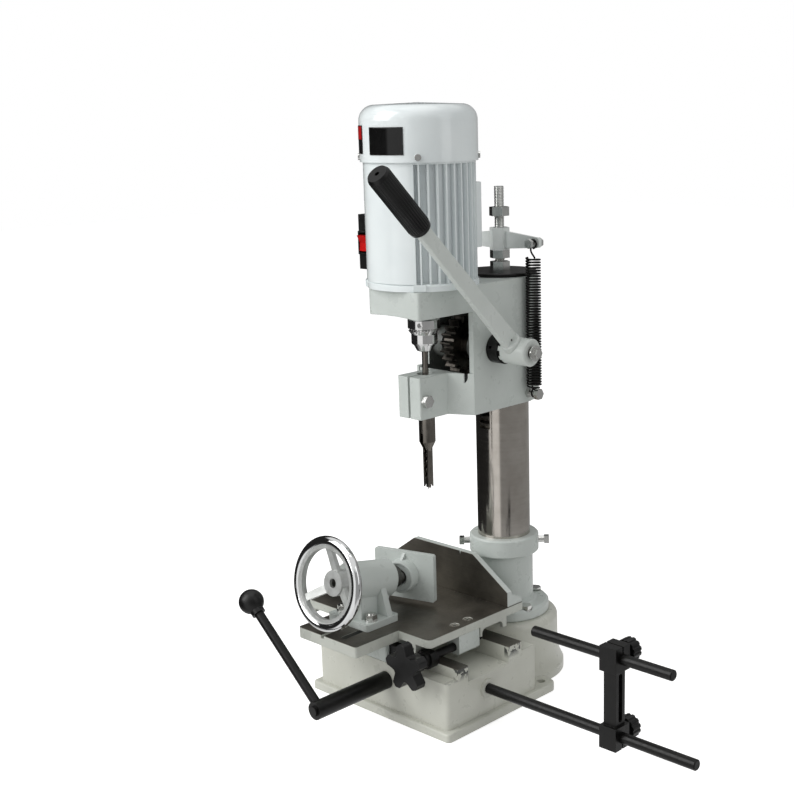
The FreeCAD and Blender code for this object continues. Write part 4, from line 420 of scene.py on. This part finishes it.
def dress_all():
    """Every CAD node gets the finish of the real piece."""
    dress(enamelled_iron(), "column_socket", "clamp_housing", "clamp_pad", "saddle", "feed_nut")
    dress(enamelled_iron("enamelled base iron, ground ways", ways_ground, way_chips, BASE_TONES, CHIPPED_AND_SLOT_SHADE),
          "base_casting")
    dress(enamelled_iron("enamelled head iron, greasy and shaded gear room", dark=gear_room_grease_and_shade), "head_casting")
    # painted shade on the slot walls
    dress(enamelled_iron("bare table iron, ground top, shaded slot walls", table_ground, table_slot_shade, TABLE_EDGE_TONES,
                         CHIPPED_AND_SLOT_SHADE), "table_casting")
    dress(enamelled_iron("enamelled fence iron, ground face", ground=fence_ground), "fence")
    dress(motor_enamel(), "motor_shield", "motor_body", "fan_cover", "capacitor_box")
    dress(lever_paint(), "lever_hub", "lever_arm")
    dress(metal("ground and polished steel", "#A9A39B", "#C6C1BA", 0.16, stretch=(0.04, 0.04, 1),
                depth=0.000003, per_metre=500), "column")
    dress(metal("hardened tool steel", "#5A5651", "#8E8982", 0.28, stretch=(1, 1, 0.1),
                depth=0.00002, per_metre=700, edge=0.0003), "hollow_chisel", "auger_bit")
    dress(metal("greased gear steel", "#1F1D1B", "#7D7871", 0.38,
                depth=0.00004, per_metre=500, edge=0.0003, blotch=90),
          "pinion_gear", "column_rack", "saddle_rack", "pinion_shaft")
    dress(metal("turned steel", "#4B4B48", "#868682", 0.32, depth=0.00003, per_metre=700, edge=0.0003),
          "rotor", "stator", "motor_bearings", "saddle_gib", "table_gib", "clamp_screw", "pad_ball")
    dress(metal("zinc-plated steel", "#C4C5C2", "#E0E0DD", 0.20,
                depth=0.000008, per_metre=500, edge=0.0004), "bracket_nuts", "stroke_rod",
          "socket_bolts", "head_screws", "motor_screws", "table_screws", "clamp_bolts", "hub_cap")
    dress(moulded("pale passivated zinc", "#E4E8E6", "#D6DBD8", 0.34, grain=500, depth=0.00002),
          "spring_bracket")
    dress(metal("bright plated chuck steel", "#C4C4C3", "#E6E6E5", 0.09, stretch=(1, 1, 0.1),
                depth=0.000008, per_metre=500, edge=0.0003), "chuck_body", "chuck_sleeve")
    dress(wheel_finish(), "handwheel")
    dress(blackened("black oxide steel"), "column_cap", "stop_post", "stop_rod", "stop_link",
          "crank_shaft", "crank_arm", "drive_boss", "screw_bracket", "star_screw")
    dress(moulded("black moulded plastic", "#0A0A0A", "#121212", 0.36), "lever_grip", "crank_ball",
          "star_knob", "stop_knob_upper", "stop_knob_lower", "switch_box", "cooling_fan")
    dress(moulded("red moulded plastic", "#C01616", "#A80F10", 0.18, grain=300, depth=0.00001),
          "switch_rocker")
    dress(metal("bearing bronze", "#8A6237", "#B88C52", 0.35), "shaft_bushes")


# ---- Pieces grown by Geometry Nodes ------------------------------------------------

def tree_with(name, sockets):
    """An empty geometry tree with named number inputs; returns it and their values by name."""
    tree = bpy.data.node_groups.new(name, "GeometryNodeTree")
    tree.interface.new_socket("Geometry", in_out="OUTPUT", socket_type="NodeSocketGeometry")
    for label, kind in sockets.items():
        tree.interface.new_socket(label, in_out="INPUT", socket_type=kind)
    given = add(tree, "NodeGroupInput").outputs
    return tree, {label: given[label] for label in sockets}


def end_tree(tree, geometry, material):
    """Close a geometry tree: real meshes, smooth shading and a finish."""
    real = add(tree, "GeometryNodeRealizeInstances", {"Geometry": geometry})
    smooth = add(tree, "GeometryNodeSetShadeSmooth", {"Geometry": real.outputs[0]})
    finished = add(tree, "GeometryNodeSetMaterial", {"Geometry": smooth.outputs[0],
                                                     "Material": material})
    add(tree, "NodeGroupOutput", {"Geometry": finished.outputs[0]})


def grow(name, tree, values, place=Matrix.Identity(4)):
    """Run a geometry tree with these values and keep the result as a plain mesh in its place."""
    carrier = bpy.data.objects.new(name, bpy.data.meshes.new(name))
    bpy.context.scene.collection.objects.link(carrier)
    modifier = carrier.modifiers.new("grown", "NODES")
    modifier.node_group = tree
    for item in tree.interface.items_tree:
        if item.in_out == "INPUT" and item.name in values:
            modifier[item.identifier] = values[item.name]
    evaluated = carrier.evaluated_get(bpy.context.evaluated_depsgraph_get())
    mesh = bpy.data.meshes.new_from_object(evaluated)
    mesh.name = name
    carrier.modifiers.clear()
    carrier.data = mesh
    mesh.transform(place)
    return carrier


def merged(name, pieces):
    """Several grown pieces as one object."""
    bpy.ops.object.select_all(action="DESELECT")
    for piece in pieces:
        piece.select_set(True)
    bpy.context.view_layer.objects.active = pieces[0]
    bpy.ops.object.join()
    pieces[0].name = name
    pieces[0].data.name = name
    return pieces[0]


def swept_wire(tree, line, radius):
    """A round wire along a curve, with closed ends."""
    section = add(tree, "GeometryNodeCurvePrimitiveCircle", {"Resolution": 7, "Radius": radius})
    tube = add(tree, "GeometryNodeCurveToMesh", {"Curve": line, "Profile Curve": section.outputs[0],
                                                 "Fill Caps": True})
    return tube.outputs[0]


def coil_tree(material):
    """A close-wound coil standing on the origin."""
    tree, given = tree_with("coil", {"Radius": "NodeSocketFloat", "Height": "NodeSocketFloat",
                                     "Turns": "NodeSocketFloat", "Wire": "NodeSocketFloat"})
    line = add(tree, "GeometryNodeCurveSpiral", {
        "Resolution": 28, "Rotations": given["Turns"], "Height": given["Height"],
        "Start Radius": given["Radius"], "End Radius": given["Radius"]})
    end_tree(tree, swept_wire(tree, line.outputs[0], given["Wire"]), material)
    return tree


def hook_tree(material):
    """A spring's end hook: most of a ring of wire, standing in the XZ plane."""
    tree, given = tree_with("hook", {"Radius": "NodeSocketFloat", "Wire": "NodeSocketFloat",
                                     "Sweep": "NodeSocketFloat"})
    line = add(tree, "GeometryNodeCurveArc", {
        "Resolution": 28, "Radius": given["Radius"],
        "Start Angle": math.radians(-90), "Sweep Angle": given["Sweep"]})
    stood = add(tree, "GeometryNodeTransform", {
        "Geometry": swept_wire(tree, line.outputs[0], given["Wire"]),
        "Rotation": (math.radians(90), 0, 0)})
    end_tree(tree, stood.outputs[0], material)
    return tree


def thread_tree(material):
    """A rod with a vee thread cut in it: each point is drawn in by its place on the helix."""
    tree, given = tree_with("thread", {"Radius": "NodeSocketFloat", "Length": "NodeSocketFloat",
                                       "Pitch": "NodeSocketFloat", "Depth": "NodeSocketFloat",
                                       "Rows": "NodeSocketInt"})
    blank = add(tree, "GeometryNodeMeshCylinder", {"Vertices": 36, "Side Segments": given["Rows"],
                                                   "Radius": given["Radius"], "Depth": given["Length"]})
    place = add(tree, "GeometryNodeInputPosition").outputs[0]
    x, y, z = add(tree, "ShaderNodeSeparateXYZ", {0: place}).outputs
    turn = calculate(tree, "DIVIDE", calculate(tree, "ARCTAN2", y, x), 2 * math.pi)
    climb = calculate(tree, "DIVIDE", z, given["Pitch"])
    phase = calculate(tree, "FRACT", calculate(tree, "SUBTRACT", climb, turn))
    vee = calculate(tree, "PINGPONG", calculate(tree, "MULTIPLY", phase, 2.0), 1.0)
    inward = calculate(tree, "DIVIDE", calculate(tree, "MULTIPLY", vee, given["Depth"]), given["Radius"])
    scale = calculate(tree, "SUBTRACT", 1.0, inward)
    moved = add(tree, "ShaderNodeCombineXYZ", {0: calculate(tree, "MULTIPLY", x, scale),
                                               1: calculate(tree, "MULTIPLY", y, scale), 2: z})
    cut = add(tree, "GeometryNodeSetPosition", {"Geometry": blank.outputs[0],
                                                "Position": moved.outputs[0]})
    end_tree(tree, cut.outputs[0], material)
    return tree


SPRING_X, SPRING_Y = 0.0570, -0.006
COIL_SPAN_Z = (0.3705, 0.5225)
SPRING_WIRE = 0.0011
SPRING_PITCH = 0.0032
UPPER_PIN_Z, FOOT_BOLT_Z = 0.5385, 0.3630
HOOK = {"Radius": 0.0050, "Wire": SPRING_WIRE, "Sweep": math.radians(330)}
STEM_RADIUS = 0.0026
STEM_SHORT_OF_PIN = 0.0035


def spring_end(coil, hook, x, coil_z, pin_z, facing):
    """A hook round its pin, and the half turn of wire that leads to it from the end of the coil."""
    ring = grow("hook", hook, HOOK, Matrix.Translation((x, SPRING_Y, pin_z)) @ facing)
    stem_foot = coil_z if pin_z > coil_z else pin_z + STEM_SHORT_OF_PIN
    stem = grow("stem", coil, {"Radius": STEM_RADIUS, "Height": abs(pin_z - coil_z) - STEM_SHORT_OF_PIN,
                               "Wire": SPRING_WIRE, "Turns": 0.5},
                Matrix.Translation((x, SPRING_Y, stem_foot)))
    return [ring, stem]


def make_springs():
    """Two close-wound springs with hooked ends, stretched between the bracket and the head."""
    black = blackened("oiled black spring steel", "#0F0F0E", "#1E1D1B", rough=0.34, metallic=0.6)
    coil, hook = coil_tree(black), hook_tree(black)
    low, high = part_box("return_springs")
    radius = (high.x - low.x) / 2 - SPRING_X - SPRING_WIRE
    bottom, top = COIL_SPAN_Z
    upright = Matrix.Identity(4)
    hanging = Euler((0, math.pi, math.pi / 2)).to_matrix().to_4x4()
    pieces = []
    for x in (-SPRING_X, SPRING_X):
        pieces.append(grow("coil", coil, {"Radius": radius, "Height": top - bottom, "Wire": SPRING_WIRE,
                                          "Turns": (top - bottom) / SPRING_PITCH},
                           Matrix.Translation((x, SPRING_Y, bottom))))
        pieces += spring_end(coil, hook, x, top, UPPER_PIN_Z, upright)
        pieces += spring_end(coil, hook, x, bottom, FOOT_BOLT_Z, hanging)
    springs = merged("spring_coils", pieces)
    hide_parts("return_springs")
    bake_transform(springs)


THREAD_PITCH = 0.00175
THREAD_DEPTH = 0.0009
ROWS_TO_A_TURN = 6


def make_stroke_rod():
    """The stroke rod with its rolled thread."""
    zinc = bpy.data.materials["zinc-plated steel"]
    low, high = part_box("stroke_rod")
    length, radius = high.z - low.z, (high.x - low.x) / 2
    rod = grow("stroke_rod_thread", thread_tree(zinc),
               {"Radius": radius, "Length": length, "Pitch": THREAD_PITCH, "Depth": THREAD_DEPTH,
                "Rows": round(length / THREAD_PITCH * ROWS_TO_A_TURN)},
               Matrix.Translation((0, 0, (low.z + high.z) / 2)))
    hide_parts("stroke_rod")
    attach(rod, "base")


GRIP_RADIUS = 0.0125
GRIP_RIBS = 28
RIB_RADIUS = 0.0007
RIB_STANDS_OUT = 0.0004
RIB_SPAN = (0.2145, 0.2875)


def rib_tree(material):
    """Slim round ribs standing in a ring, each along the axis of the ring."""
    tree, given = tree_with("ribs", {"Count": "NodeSocketInt", "Ring": "NodeSocketFloat",
                                     "Radius": "NodeSocketFloat", "Length": "NodeSocketFloat"})
    ring = add(tree, "GeometryNodeMeshCircle", {"Vertices": given["Count"], "Radius": given["Ring"]})
    rib = add(tree, "GeometryNodeMeshCylinder", {"Vertices": 8, "Radius": given["Radius"],
                                                 "Depth": given["Length"]})
    stood = add(tree, "GeometryNodeInstanceOnPoints", {"Points": ring.outputs[0],
                                                       "Instance": rib.outputs[0]})
    end_tree(tree, stood.outputs[0], material)
    return tree


def make_grip_ribs():
    """Fine ribs along the lever's moulded grip, standing 0.4 mm out of it."""
    low, high = RIB_SPAN
    lean = Matrix.Translation(LEVER_PIVOT) @ Matrix.Rotation(LEVER_LEAN, 4, "X")
    ribs = grow("grip_ribs", rib_tree(bpy.data.materials["black moulded plastic"]),
                {"Count": GRIP_RIBS, "Ring": GRIP_RADIUS - RIB_RADIUS + RIB_STANDS_OUT,
                 "Radius": RIB_RADIUS, "Length": high - low},
                lean @ Matrix.Translation((0, 0, (low + high) / 2)))
    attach(ribs, "lever")


COVER_RADIUS = 0.0652
PLATE_COLUMNS = 16
PLATE_BORDER = 0.0008


def curved_plate(name, radius, middle_deg, width, span_z, thickness, face, border):
    """A plate bent round the fan cover, with a narrow border of its second material."""
    low_corner, high_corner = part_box("fan_cover")
    axis_y = (low_corner.y + high_corner.y) / 2
    low, high = span_z
    rows = [low, low + PLATE_BORDER, high - PLATE_BORDER, high]
    span, edge = width / radius, PLATE_BORDER / radius
    inner = span - 2 * edge
    angles = [-span / 2, -span / 2 + edge]
    angles += [-span / 2 + edge + inner * i / PLATE_COLUMNS for i in range(1, PLATE_COLUMNS)]
    angles += [span / 2 - edge, span / 2]
    mesh = bmesh.new()
    grid = []
    for z in rows:
        turned = [math.radians(middle_deg) + angle for angle in angles]
        grid.append([mesh.verts.new((radius * math.cos(a), axis_y + radius * math.sin(a), z))
                     for a in turned])
    for r in range(len(rows) - 1):
        for c in range(len(angles) - 1):
            quad = mesh.faces.new((grid[r][c], grid[r][c + 1], grid[r + 1][c + 1], grid[r + 1][c]))
            quad.material_index = 1 if r in (0, len(rows) - 2) or c in (0, len(angles) - 2) else 0
            quad.smooth = True
    data = bpy.data.meshes.new(name)
    mesh.to_mesh(data)
    mesh.free()
    data.materials.append(face)
    data.materials.append(border)
    return thickened(name, data, thickness)


def thickened(name, data, thickness):
    """An object with this sheet given its thickness on the outside, as a plain mesh."""
    plate = bpy.data.objects.new(name, data)
    bpy.context.scene.collection.objects.link(plate)
    thick = plate.modifiers.new("thick", "SOLIDIFY")
    thick.thickness = thickness
    thick.offset = 1.0
    evaluated = plate.evaluated_get(bpy.context.evaluated_depsgraph_get())
    solid = bpy.data.meshes.new_from_object(evaluated)
    plate.modifiers.clear()
    plate.data = solid
    return plate


def make_plates():
    """Bare rating plate and a small bare two-colour label on the fan cover."""
    black = moulded("gloss black printed foil", "#0B0B0B", "#141414", 0.12, grain=300, depth=0.000005)
    dull = moulded("dark printed border", "#1C1C1C", "#262626", 0.3, grain=300, depth=0.000005)
    red = moulded("gloss red printed foil", "#B01818", "#9E1214", 0.2, grain=300, depth=0.000005)
    rating = curved_plate("rating_plate", COVER_RADIUS, -78.7, 0.044, (0.6450, 0.6740),
                          0.0005, black, dull)
    label = curved_plate("side_label", COVER_RADIUS, -124.0, 0.026, (0.6460, 0.6760),
                         0.0004, black, dull)
    patch = curved_plate("side_label_patch", COVER_RADIUS + 0.0004, -124.0, 0.024, (0.6610, 0.6750),
                         0.0002, red, red)
    for piece, slot in ((rating, "black_plastic"), (label, "black_plastic"), (patch, "red_plastic")):
        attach(piece, "head")


# ---- Studio ------------------------------------------------------------------------

SCREEN_FROM, SCREEN_TO, DARK_FROM = (math.radians(a) for a in (-108, -62, 130))
SCREEN_LEVEL, WALL_LEVEL, DARK_LEVEL, CEILING_LEVEL = 1.0, 0.34, 0.02, 0.9
FLOOR_LEVEL = 0.85
AMBIENT_LEVEL = 0.45
FLOOR_WHITENING = 0.66


def room_level(tree, x, y):
    """How bright the room is that metal reflects, by compass direction.

    A tall white screen stands in front, dark to its left and dim grey to its right.
    """
    azimuth = calculate(tree, "ARCTAN2", y, x)
    past_left, past_right, behind = (above(tree, azimuth, edge, math.radians(3))
                                     for edge in (SCREEN_FROM, SCREEN_TO, DARK_FROM))
    screen = product(tree, past_left, inverse(tree, past_right))
    dark = calculate(tree, "MAXIMUM", inverse(tree, past_left), behind)
    wall = mix_numbers(tree, screen, WALL_LEVEL, SCREEN_LEVEL)
    return mix_numbers(tree, dark, wall, DARK_LEVEL)


def mirrored(tree, path):
    """1 for rays that metal or glass has turned."""
    either = calculate(tree, "ADD", path["Is Glossy Ray"], path["Is Transmission Ray"])
    return calculate(tree, "MINIMUM", either, 1.0)


def make_floor():
    """Wide pale floor that fades into the white backdrop and keeps the model's shadow."""
    bpy.ops.mesh.primitive_plane_add(size=14, location=(0, 0, -0.0002))
    floor = bpy.context.object
    floor.name = "studio_floor"
    material, tree, surface, coords = start("pale matt floor", Roughness=0.8,
                                            Emission_Color=linear("#FFFFFF"))
    vector = coords.outputs["Object"]
    path = add(tree, "ShaderNodeLightPath").outputs
    wire(tree, surface, Base_Color=blend(tree, noise(tree, vector, 3), "#E2E2E1", "#E5E5E4"),
         Emission_Strength=calculate(tree, "MULTIPLY", path["Is Camera Ray"], FLOOR_WHITENING))
    place = add(tree, "ShaderNodeSeparateXYZ", {0: vector}).outputs
    away = add(tree, "ShaderNodeVectorMath", {0: vector}, operation="LENGTH").outputs["Value"]
    far = above(tree, away, 0.45, 0.12)
    level = mix_numbers(tree, far, FLOOR_LEVEL, room_level(tree, place[0], place[1]))
    reflected = add(tree, "ShaderNodeEmission", {"Color": linear("#FFFFFF"), "Strength": level})
    both = add(tree, "ShaderNodeMixShader", {0: mirrored(tree, path), 1: surface.outputs[0],
                                             2: reflected.outputs[0]})
    tree.links.new(both.outputs[0], tree.nodes["Material Output"].inputs["Surface"])
    floor.data.materials.append(material)


def make_light(name, place, aim, size, power):
    """A rectangular lamp at a place, turned to its aim."""
    data = bpy.data.lights.new(name, "AREA")
    data.shape = "RECTANGLE"
    data.size, data.size_y = size
    data.energy = power
    lamp = bpy.data.objects.new(name, data)
    lamp.location = place
    lamp.rotation_euler = (Vector(aim) - Vector(place)).to_track_quat("-Z", "Y").to_euler()
    bpy.context.scene.collection.objects.link(lamp)


def make_world():
    """White studio; bright metal sees a tall white screen in front of dark and dim walls."""
    world = bpy.data.worlds.new("studio")
    bpy.context.scene.world = world
    world.use_nodes = True
    tree = world.node_tree
    tree.nodes.clear()
    direction = add(tree, "ShaderNodeTexCoord").outputs["Generated"]
    x, y, z = add(tree, "ShaderNodeSeparateXYZ", {0: direction}).outputs
    ceiling = above(tree, z, 0.62, 0.05)
    room = mix_numbers(tree, ceiling, room_level(tree, x, y), CEILING_LEVEL)
    path = add(tree, "ShaderNodeLightPath").outputs
    level = mix_numbers(tree, mirrored(tree, path), AMBIENT_LEVEL, room)
    strength = mix_numbers(tree, path["Is Camera Ray"], level, 1.0)
    back = add(tree, "ShaderNodeBackground", {"Color": linear("#FFFFFF"), "Strength": strength})
    add(tree, "ShaderNodeOutputWorld", {"Surface": back.outputs[0]})


CAMERA_AT = Vector((1.0481, -1.1680, 0.6874))
CAMERA_YAW, CAMERA_PITCH, CAMERA_ROLL = (math.radians(a) for a in (42.3286, 13.3712, 0.9764))
FOCAL_PX = 1315.29
PRINCIPAL_PX = (492.93, 424.95)
IMAGE_PX = 794
SENSOR_MM = 36.0


def make_camera():
    """The camera, a long lens from the front right, a little above the table."""
    data = bpy.data.cameras.new("camera")
    data.sensor_width = SENSOR_MM
    data.lens = FOCAL_PX * SENSOR_MM / IMAGE_PX
    data.shift_x = (IMAGE_PX / 2 - PRINCIPAL_PX[0]) / IMAGE_PX
    data.shift_y = (PRINCIPAL_PX[1] - IMAGE_PX / 2) / IMAGE_PX
    data.clip_start, data.clip_end = 0.05, 30
    yaw, pitch, roll = CAMERA_YAW, CAMERA_PITCH, CAMERA_ROLL
    level_forward = Vector((-math.sin(yaw), math.cos(yaw), 0))
    forward = level_forward * math.cos(pitch) - Vector((0, 0, math.sin(pitch)))
    level_right = Vector((math.cos(yaw), math.sin(yaw), 0))
    level_down = forward.cross(level_right)
    right = level_right * math.cos(roll) + level_down * math.sin(roll)
    down = level_down * math.cos(roll) - level_right * math.sin(roll)
    turn = Matrix((right, -down, -forward)).transposed().to_4x4()
    camera = bpy.data.objects.new("camera", data)
    camera.matrix_world = Matrix.Translation(CAMERA_AT) @ turn
    bpy.context.scene.collection.objects.link(camera)
    bpy.context.scene.camera = camera


def make_studio():
    """Camera, floor, backdrop and three soft lamps."""
    make_camera()
    make_floor()
    make_world()
    centre = (0.0, -0.08, 0.35)
    make_light("key", (-1.3, -2.45, 2.1), centre, (2.0, 2.8), 79)
    make_light("right", (2.0, 0.2, 1.2), centre, (0.8, 1.6), 4)
    make_light("top", (0.1, -0.1, 2.4), centre, (1.4, 1.4), 6)


# ---- Making ------------------------------------------------------------------------

bpy.context.scene.view_settings.view_transform = "Standard"
make_studio()
dress_all()
make_springs()
make_stroke_rod()
make_grip_ribs()
make_plates()
